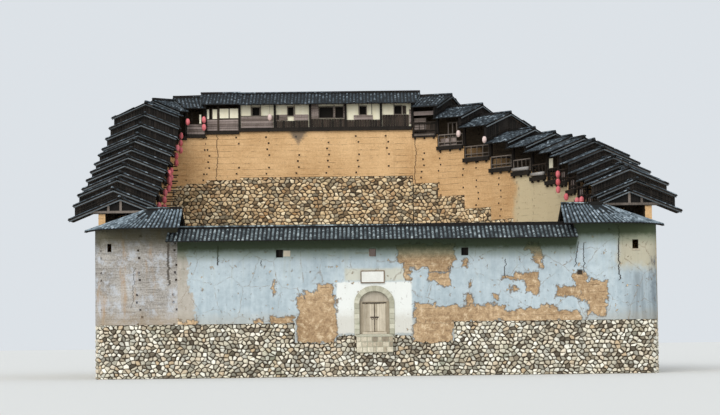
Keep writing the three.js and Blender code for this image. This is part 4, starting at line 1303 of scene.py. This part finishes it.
def addRailings():
    dark, pale = Timbers(), Timbers()
    deck, across = gallery["deck"], gallery["postFace"] - 0.03
    for i, bay in enumerate(bays):
        if bay["side"] in ("rear", "rearLeft"):
            continue
        rails, inset = pale if i in gallery["paleRails"] else dark, 0.14 / bay["length"]
        for level, high in gallery["rails"]:
            rail(rails, bay, inset, 1 - inset, across, deck + level, 0.05, high)
        for share in np.linspace(inset * 1.3, 1 - inset * 1.3, gallery["balusters"]):
            post(rails, bay, share, across, *(deck + level for level in gallery["baluster"]), 0.06, 0.05)
        joist = (gallery["edge"] + 0.06, gallery["wallTop"], -gallery["joistDrop"], 0.12, 0.14)
        for share in gallery["joists"]:
            outrigger(dark, bay, share, *joist)
    for i in range(*gallery["beamBays"]):  # the left gallery's beams that run out over the courtyard
        for share, drop in gallery["beams"]:
            outrigger(dark, bays[i], share, gallery["wallTop"], 0.18 * i - 4.55, -drop, 0.1, 0.09)
    dark.piece("dark_railings", "timber", "timber")
    pale.piece("pale_railings", "greyTimber", "timber")


# The open timber gables at the low ends of the side galleries. Levels are below the ridge
openGable = {
    "x": 18.55, "y": 2.84, "thick": 0.09,
    "tie": (2.35, 1.22, 1.04), "posts": [(0.0, 0.3), (0.9, 0.66)],
}


def addGableFrames():
    frames = Timbers()
    y, (reach, low, high) = openGable["y"], openGable["tie"]
    for side, bay in ((-1, bays[0]), (1, bays[-1])):
        x, ridge = side * openGable["x"], bay["ridge"]
        frames.box(x - reach, x + reach, y - 0.06, y, ridge - low, ridge - high)
        for out, top in openGable["posts"]:
            postX, wide = x + side * out, openGable["thick"]
            frames.box(postX - wide, postX + wide, y - 0.055, y, ridge - high - 0.02, ridge - top)
    frames.piece("gable_frames", "greyTimber", "timber")


# The rear gallery's face. Each row: kind, left X, right X, low and high over the floor, proud
rearFace = {
    "floor": 21.0, "y": 32.02, "back": 0.5, "sill": 1.2, "head": 2.12, "wide": 0.22,
    "casing": 0.07, "casingEnd": 0.06, "sillOut": 0.08, "postHalf": 0.12,
    "rows": [
        ("mauve", -11.36, -8.56, 0.12, 1.12, 0.05), ("mauve", -8.45, -5.5, 0.74, 1.27, 0.04),
        ("dark", -8.45, -5.5, 0.12, 0.72, 0.03), ("mauve", -5.3, -2.35, 0.86, 2.1, 0.03),
        ("dark", -5.3, -2.35, 0.12, 0.84, 0.04), ("mauve", -1.55, 0.1, 0.74, 1.15, 0.05),
        ("dark", -2.2, 0.72, 0.12, 0.74, 0.03), ("dark", 0.95, 3.25, 0.1, 1.15, 0.04),
        ("dark", 2.7, 3.02, 1.2, 1.92, 0.02),
        ("mauve", 3.28, 3.44, 0.3, 1.6, 0.04), ("dark", -8.45, -8.05, 0.8, 1.25, 0.05),
    ],
    # middle X, sill over the floor, width, height
    "windows": [(-10.06, 1.2, 0.6, 0.72), (-7.05, 1.2, 0.45, 0.72), (-3.95, 0.95, 1.2, 0.95),
                (-2.82, 0.95, 0.66, 0.95), (-0.75, 1.2, 0.55, 0.72), (2.3, 1.2, 0.6, 0.72)],
    "posts": [-11.5, -8.42, -5.34, -2.26, 0.82, 3.4], "studs": (-10.48, -9.66, -6.7, -1.1, 0.02, 1.98),
}


def even(start, end, wide):  # a length in equal steps of about this width
    count = max(int(round((end - start) / wide)), 1)
    step = (end - start) / count
    return [(start + k * step, start + (k + 1) * step) for k in range(count)]


def boardRow(timbers, x0, x1, y0, y1, z0, z1, wide=rearFace["wide"]):  # upright boards side by side
    for a, b in even(x0, x1, wide):
        timbers.box(a + 0.006, b - 0.006, y0, y1 + dice.random() * 0.008, z0, z1)


def planks(timbers, x0, x1, y0, y1, z0, z1):  # boards one above the other
    for a, b in even(z0, z1, rearFace["wide"]):
        timbers.box(x0, x1, y0, y1 + dice.random() * 0.008, a + 0.012, b - 0.012)


def freeOfWindows(x0, x1, low, high):  # pieces of a row between the windows that cross it
    spans = [(x0, x1)]
    for x, sill, width, height in rearFace["windows"]:
        if sill + height >= low + 0.02 and sill <= high - 0.02:
            left, right = x - width / 2 - 0.05, x + width / 2 + 0.05
            halves = [part for a, b in spans for part in ((a, min(b, left)), (max(a, right), b))]
            spans = [(a, b) for a, b in halves if b - a > 0.05]
    return spans


def addRearFace():
    mauve, dark, frames = Timbers(), Timbers(), Timbers()
    floor, y, wide, end = (rearFace[key] for key in ("floor", "y", "casing", "casingEnd"))
    skin, clear = y - 0.003, rearFace["postHalf"]
    for kind, x0, x1, low, high, proud in rearFace["rows"]:
        timbers, row = (dark, boardRow) if kind == "dark" else (mauve, planks)
        for a, b in freeOfWindows(x0, x1, low, high):
            row(timbers, a, b, y - proud - 0.02, y - 0.004, floor + low, floor + high)
    for x, sill, width, height in rearFace["windows"]:
        z0, z1 = floor + sill, floor + sill + height
        x0, x1 = x - width / 2, x + width / 2
        frames.box(x0 - wide, x0, y - wide, skin, z0 - end, z1 + end)
        frames.box(x1, x1 + wide, y - wide, skin, z0 - end, z1 + end)
        frames.box(x0, x1, y - rearFace["sillOut"], skin, z0 - wide, z0)
        frames.box(x0, x1, y - wide, skin, z1, z1 + end)
        back = y + rearFace["back"]
        # a dark board behind each window, in the darkest tone: painted shade of the room within
        dark.box(x0 - 0.1, x1 + 0.1, back, back + 0.03, z0 - 0.4, z1 + 0.3, -1.0)  # the dark behind it
    sill, head, posts = floor + rearFace["sill"], floor + rearFace["head"], rearFace["posts"]
    for a, b in neighbours(posts):
        frames.box(a + clear, b - clear, y - 0.06, skin, head, head + 0.08)
        if a == posts[0]:
            frames.box(a + clear, b - clear, y - wide, skin, sill - 0.07, sill - 0.01)
    for x in rearFace["studs"]:
        frames.box(x - 0.03, x + 0.03, y - 0.05, skin, sill, head)
    mauve.piece("rear_boards", "mauve", "panel")
    dark.piece("rear_dark_boards", "timber", "timber")
    frames.piece("rear_window_frames", "greyTimber", "timber")


# Boards and panels between the posts of the other bays: maker, kind, bay, then what the maker takes
bayPanels = [
    (lying, "mauve", 13, 0.06, 0.95, -2.0, 0.1, 1.0, 4),
    (upright, "cream", 13, 0.68, 0.78, -2.0, 1.05, 1.85, 1),
    (upright, "dark", 13, 0.3, 0.34, -2.0, 1.0, 2.0, 1),
    (lying, "mauve", 14, 0.04, 0.97, -2.0, 0.1, 1.1, 5),
    (upright, "cream", 14, 0.03, 0.1, -2.0, 1.15, 2.0, 1),
    (upright, "cream", 14, 0.2, 0.34, -2.0, 1.15, 2.0, 1),
    (upright, "cream", 14, 0.41, 0.68, -2.0, 1.2, 2.05, 1),
    (upright, "cream", 14, 0.71, 0.97, -2.0, 1.2, 2.05, 1),
    (post, "dark", 14, 0.37, -2.02, 0.1, 2.3, 0.16),
    *((post, "pale", 14, share, -2.02, 1.1, 2.15, 0.06) for share in (0.11, 0.19, 0.695)),
    # the bay with the lattice, and the one with a window
    (lying, "mauve", 16, 0.07, 0.53, -1.93, 0.45, 1.5, 4),
    (lying, "mauve", 16, 0.05, 0.95, -1.95, 1.72, 2.1, 1),
    *((post, "pale", 16, 0.08 + 0.055 * k, -2.02, 0.45, 1.5, 0.03) for k in range(9)),
    *((rail, "pale", 16, 0.07, 0.53, -2.0, 0.5 + 0.19 * k, 0.02, 0.03) for k in range(6)),
    (rail, "pale", 16, 0.1, 0.95, -2.42, -0.02, 0.05, 0.16),
    (upright, "dark", 16, 0.55, 0.97, -2.0, 0.1, 0.9, 5),
    (upright, "mauve", 17, 0.1, 0.42, -2.0, 0.12, 0.8, 2),
    (upright, "mauve", 17, 0.45, 0.68, -2.0, 0.12, 0.8, 1),
    *((post, "pale", 17, share, -2.02, 0.8, 2.1, 0.09) for share in (0.4, 0.56, 0.72)),
    (rail, "pale", 17, 0.36, 0.76, -2.02, 0.84, 0.07, 0.1),
    (rail, "pale", 17, 0.36, 0.76, -2.02, 2.1, 0.07, 0.1),
    (upright, "cream", 22, 0.1, 0.42, -2.0, 1.1, 1.95, 1),
    *(row for i in range(23, 29) for row in (
        (upright, "mauve", i, 0.1, 0.6, -2.0, 0.12, 0.9, 5),
        (upright, "cream", i, 0.65, 0.95, -1.6, 1.1, 1.9, 1),
    )),
    # deep in the left gallery
    *(row for i in range(12) for row in (
        (post, "mauve", i, 0.5, -1.0, 0.1, 2.3, 0.14),
        (upright, "dark", i, 0.1, 0.9, -2.0, 0.1, 0.9, 8),
    )),
]


def addBayPanels():
    kinds = {kind: Timbers() for kind in ("mauve", "dark", "pale", "cream")}
    for maker, kind, i, *settings in bayPanels:
        maker(kinds[kind], bays[i], *settings)
    kinds["mauve"].piece("bay_boards", "mauve", "panel")
    kinds["dark"].piece("bay_dark_boards", "timber", "timber")
    kinds["pale"].piece("bay_lattice", "greyTimber", "timber")
    kinds["cream"].piece("bay_panels", "cream", "panel")


def addRolls():  # rolled mats kept at the foot of two railings
    settings = {"vertices": 14, "radius": 0.5, "depth": 1, "rotation": (math.radians(90), 0, 0)}
    pattern = addPattern("roll_pattern", bpy.ops.mesh.primitive_cylinder_add, **settings)
    editAll()
    bpy.ops.mesh.subdivide(number_cuts=1)
    leaveEdit()
    bpy.ops.object.shade_smooth()
    rolls = Copies()
    start, end, across, level, thick = gallery["roll"]
    for bay in (bays[i] for i in gallery["rollBays"]):
        a, b = (onBay(bay, share, across, bay["floor"] + level) for share in (start, end))
        turn = np.column_stack([np.cross(bay["along"], (0, 0, 1)), bay["along"], (0, 0, 1)])
        rolls.add(place((a + b) / 2), turn, (thick, np.linalg.norm(b - a), thick))
    ride(rolls.join("rolled_mats", pattern, "bundle"))
    throwAway(pattern)


addVerges()
addRailings()
addGableFrames()
addRearFace()
addBayPanels()
addRolls()
print("gallery details")


# ---- lanterns: bay, share along it, levels of the lanterns on one cord
lanterns = {
    "across": -2.94, "size": (0.38, 0.38, 0.56), "rim": 0.47, "cord": 0.02,
    "red": [
        (2, 0.68, [12.98]), (4, 0.43, [13.73, 13.12]), (4, 0.7, [14.34]), (5, 0.93, [14.88]),
        (6, 0.08, [16.16, 15.6]), (6, 0.4, [15.37]), (6, 0.83, [16.5, 15.95]),
        (8, 0.8, [18.15, 17.57]), (9, 0.25, [18.92]),
        (10, 0.7, [19.64, 19.02]), (10, 0.9, [20.3]), (12, 0.75, [21.6]), (13, 0.88, [21.8, 21.14]),
        (23, 0.96, [15.57, 14.94, 14.34]), (24, 0.88, [13.62]), (26, 0.18, [13.1]), (26, 0.78, [13.08]),
    ],
    "pale": [(15, 0.18, [21.94]), (18, 0.03, [20.1]), (19, 0.06, [19.35])],
}


def lanternPattern():  # a ribbed bag with a rim at its mouth and its foot
    settings = {"segments": 14, "ring_count": 9, "radius": 0.5}
    pattern = addPattern("lantern_pattern", bpy.ops.mesh.primitive_uv_sphere_add, **settings)
    for corner in pattern.data.vertices:
        corner.co.z = max(min(corner.co.z * 1.1, 0.46), -0.46)
    bpy.ops.object.shade_smooth()
    rims = []
    for z in (lanterns["rim"], -lanterns["rim"]):
        settings = {"vertices": 12, "radius": 0.22, "depth": 0.06, "location": (0, 0, z)}
        rims.append(addPattern("lantern_rim", bpy.ops.mesh.primitive_cylinder_add, **settings))
    onlyActive(pattern)
    for rim in rims:
        rim.select_set(True)
    bpy.ops.object.join()
    return pattern


def addLanterns():
    pattern, cords, across = lanternPattern(), Timbers(), lanterns["across"]
    for kind, name, look in (("red", "lanterns", "lantern"), ("pale", "pale_lanterns", "paleLantern")):
        bags, spots = Copies(), []
        for i, share, levels in lanterns[kind]:
            top = bays[i]["ridge"] + ring["fall"] * across - roof["slab"]
            hung = [onBay(bays[i], share, across, level) for level in levels]
            cords.beam([*hung[0][:2], top], hung[-1], lanterns["cord"], lanterns["cord"], (1, 0, 0))
            spots += hung
        for spot in spots:
            bags.add(place(spot), np.eye(3), lanterns["size"])
        ride(bags.join(name, pattern, look))
    cords.piece("lantern_cords", "timber", "timber", 0.004)
    throwAway(pattern)


addLanterns()


# ---- the gate. X is counted from its middle
gate = {
    "x": -0.16, "springing": 5.2, "sill": 3.0, "outer": (1.435, 1.26), "inner": (1.065, 0.86), "stones": 15,
    "jambRows": 6, "jambX": 1.25, "jambWide": 0.36, "stoneY": -0.02, "stoneDeep": 0.17, "stoneEdge": 0.022,
    "doorHalf": 0.73, "leafFront": 0.265, "leafLow": 3.19, "leafHigh": 5.17, "leafBoards": 4, "seam": 0.026,
    "plate": (0.02, 0.3, 4.16, 4.26), "ring": (0.15, 4.13, 0.075, 0.012),  # X, level, radius, thickness
    "step": (1.72, 2.84, -0.25), "stepHalf": 1.31, "stepCourses": 3, "stepBlocks": 7,
    "skirts": [(-5.85, -2.9, 2.45), (-2.9, -1.6, 2.95), (1.28, 2.54, 2.95), (2.54, 5.5, 2.4)],
    "skirtY": (-0.062, 0.0), "skirtStep": 0.07,
}
# Piece, look, slot, edge, then its boxes: left and right X, front and back Y, low and high
gateTrim = [
    ("step_slabs", "archStone", "arch_stone", 0.02, [
        (-1.34, 1.34, -0.3, -0.09, 2.825, 2.875), (-1.43, 1.43, -0.035, 0.05, 2.87, 2.996),
    ]),
    # a dark strip at the top of the doorway, painted shadow under the lintel
    ("gate_lintel_shade", "timber", "timber", 0.012, [(-0.86, 0.86, 0.17, 0.198, 5.2, 5.27)]),
    # the threshold, and the stops in front of the leaves' outer edges
    ("gate_threshold", "door", "timber", 0.012, [
        (-0.86, 0.86, 0.12, 0.198, 3.01, 3.15), (-0.78, -0.69, 0.19, 0.238, 3.16, 5.19),
        (0.69, 0.78, 0.19, 0.238, 3.16, 5.19),
    ]),
    ("name_board_frame", "brown", "timber", 0.012, [
        (-0.96, 0.76, -0.13, -0.103, 7.48, 7.54), (-0.96, 0.76, -0.13, -0.103, 6.64, 6.70),
        (-0.96, -0.90, -0.13, -0.103, 6.70, 7.48), (0.70, 0.76, -0.13, -0.103, 6.70, 7.48),
    ]),
    ("name_board_field", "board", "panel", 0.012, [(-0.895, 0.695, -0.108, -0.074, 6.705, 7.475)]),
]


def addVoussoirs():
    stones = Copies()
    x, z, sunk = gate["x"], gate["springing"], np.array([0, gate["stoneY"], 0])
    arcs = np.array([gate["outer"], gate["inner"]])
    for first, last in neighbours(np.linspace(0, math.pi, gate["stones"] + 1)):
        turn = (first + last) / 2
        outer, inner = (np.array([x + a * math.cos(turn), 0, z + b * math.sin(turn)]) for a, b in arcs)
        chord = arcs.mean(0) * (math.cos(first) - math.cos(last), math.sin(first) - math.sin(last))
        radial = unit(outer - inner)
        size = (np.linalg.norm(chord) + 0.015, gate["stoneDeep"], np.linalg.norm(outer - inner) - 0.01)
        turned = np.column_stack([np.cross((0, 1, 0), radial), (0, 1, 0), radial])
        stones.add(place((outer + inner) / 2 + sunk), turned, size)
    height = (gate["springing"] - gate["sill"]) / gate["jambRows"]
    for side in (-1, 1):
        for row in range(gate["jambRows"]):
            spot = (x + side * gate["jambX"], gate["stoneY"], gate["sill"] + height * (row + 0.5))
            size = (gate["jambWide"], gate["stoneDeep"] + 0.02 * (row % 2), height - 0.012)
            stones.add(place(spot), np.eye(3), size)
    ride(stones.join("arch_stones", timber, "archStone", gate["stoneEdge"]))


def sideBox(timbers, side, a, b, *rest):  # a box between a and b from the gate's middle, on one side
    timbers.box(*sorted((gate["x"] + side * a, gate["x"] + side * b)), *rest)


def addLeafBoards():
    front, low, high = gate["leafFront"], gate["leafLow"], gate["leafHigh"]
    for side, body in ((-1, "gate_leaf_left"), (1, "gate_leaf_right")):
        boards, iron = Timbers(), Timbers()
        for a, b in neighbours(np.linspace(gate["seam"], gate["doorHalf"] - 0.03, gate["leafBoards"] + 1)):
            sideBox(boards, side, a + 0.005, b - 0.005, front - 0.018, front - 0.001, low, high)
        boards.piece(body + "_boards", "door", "gate_wood", 0.006, body)
        a, b, plateLow, plateHigh = gate["plate"]
        sideBox(iron, side, a, b, front - 0.03, front - 0.018, plateLow, plateHigh)
        # a dark strip along the middle seam, painted shade of the gap between the leaves
        sideBox(iron, side, 0.004, gate["seam"] + 0.002, front - 0.008, front - 0.001, low, high, 0.0)
        iron.piece(body + "_plate", "iron", "gate_wood", 0.004, body)
        x, z, radius, thick = gate["ring"]
        settings = {
            "location": at(gate["x"] + side * x, front - 0.038, z), "rotation": (math.radians(90), 0, 0),
            "major_radius": radius * half, "minor_radius": thick * half,
            "major_segments": 24, "minor_segments": 8,
        }
        pull = addPattern(body + "_ring", bpy.ops.mesh.primitive_torus_add, **settings)
        bpy.ops.object.shade_smooth()
        dress(pull, "iron")
        ride(pull, body)


def addStepStones():  # rough blocks in courses
    courses = Timbers()
    low, high, front = gate["step"]
    rise = (high - low) / gate["stepCourses"]
    for row in range(gate["stepCourses"]):
        edges = np.linspace(-gate["stepHalf"], gate["stepHalf"], gate["stepBlocks"] + 1)
        edges[1:-1] += dice.uniform(-0.09, 0.09, gate["stepBlocks"] - 1)
        level = low + rise * row
        for a, b in neighbours(edges + gate["x"]):
            face, tone = front - dice.uniform(0.01, 0.035), dice.uniform(0.03, 0.3)
            courses.box(a + 0.014, b - 0.014, face, front + 0.1, level, level + rise - 0.014, tone)
    courses.piece("step_stones", "frontStone", "arch_stone", 0.03)


def addGateTrim():
    for name, look, slot, edge, boxes in gateTrim:
        trim = Timbers()
        trim.boxes(boxes, gate["x"])
        trim.piece(name, look, slot, edge)


def addSkirts():  # old render beside the gate that still hangs over the stones
    spots, loops, totals, base = [], [], [], 0
    (front, back), top = gate["skirtY"], rubble["frontTop"] + 0.02
    for x0, x1, low in gate["skirts"]:
        count = int((x1 - x0) / gate["skirtStep"])
        ragged = np.convolve(dice.random(count + 8) - 0.5, np.ones(5) / 5, "valid")[:count + 1] * 0.5
        ragged += (dice.random(count + 1) - 0.5) * 0.05
        for k in range(count + 1):
            x, foot = x0 + (x1 - x0) * k / count, low + ragged[k]
            y = front - dice.random() * 0.012
            spots += [(x, y, top), (x, y, foot), (x, back, foot), (x, back, top)]
        for a in range(base, base + 4 * count, 4):
            for i, j in ((1, 0), (2, 1), (3, 2), (0, 3)):
                loops += [a + i, a + i + 4, a + j + 4, a + j]
        last = base + 4 * count
        loops += [base + 1, base, base + 3, base + 2, last + 1, last + 2, last + 3, last]
        totals += [4] * (4 * count + 2)
        base = last + 4
    flat, tones = np.zeros(len(totals), bool), np.full(len(spots), 0.5)
    loops, totals = np.array(loops), np.array(totals)
    ride(meshPiece("render_skirts", place(spots), loops, totals, flat, tones, "plaster"))


addVoussoirs()
addLeafBoards()
addStepStones()
addGateTrim()
addSkirts()
print("gate")


# ---- windows of the front: shutters, a blocked one and timber pieces beside them
frontWindows = {
    "shuttered": (-6.9, 6.35), "half": 0.25, "low": 8.55, "high": 9.11, "board": 0.16,
    "timbers": [(-6.62, -6.12, -0.05, 0.02, 8.62, 9.04), (18.3, 18.86, -0.06, 0.1, 8.78, 8.89)],
    "blocked": [(-0.49, -0.01, 0.06, 0.1, 8.56, 9.1)],
}


def addFrontWindows():
    dark, tan, blocked = Timbers(), Timbers(), Timbers()
    low, high = frontWindows["low"], frontWindows["high"]
    for x in frontWindows["shuttered"]:
        x0, x1 = x - frontWindows["half"], x + frontWindows["half"]
        # shutters and a board behind them in near-black timber, as painted shade in the window
        boardRow(dark, x0, x1, 0.40, 0.43, low, high, frontWindows["board"])
        dark.box(x0, x1, 0.44, 0.46, low, high, 0.0)
    tan.boxes(frontWindows["timbers"])
    blocked.boxes(frontWindows["blocked"])
    dark.piece("window_shutters", "soot", "timber")
    tan.piece("window_timbers", "door", "timber")
    blocked.piece("blocked_window", "mauve", "panel")


addFrontWindows()


# ---- finishes of the nodes that stay: the first word that a name holds
nodeLooks = {
    "plinth": "bedding", "gallery_frame": "timber", "corner_frame": "timber", "gate_frame": "door",
    "name_board": "timber", "panelling": "cream", "tympanum": "tympanum", "gate_arch": "archStone",
    "gate_sill": "archStone", "gate_leaf": "door",
    "corner_wall_left": "grey", "corner_upper_wall_left": "grey",
    "front": "plaster", "corner_wall_right": "plaster", "corner_upper_wall_right": "plaster",
    "wall": "tan",
}


def behindStones(face):
    return face.normal.y < -0.9 and abs(face.center.y - frontY) < 0.01


def isInner(face):  # towards the courtyard
    centre = face.center - Vector((midX, 0, 0))
    return centre.x * face.normal.x + centre.y * face.normal.y <= 0


def dressNodes():
    for name, node in nodes.items():
        if node.hide_render:
            continue
        look = next(look for word, look in nodeLooks.items() if word in name)
        if name == "gate_sill":
            dress(node, look, "bedding")
            paintFaces(node, behindStones)
        elif "upper_wall" in name:
            # inner faces near black, as painted shade inside the galleries
            dress(node, look, "inside")
            paintFaces(node, isInner)
        else:
            dress(node, look)


dressNodes()

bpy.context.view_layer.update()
throwAway(tile)
throwAway(timber)
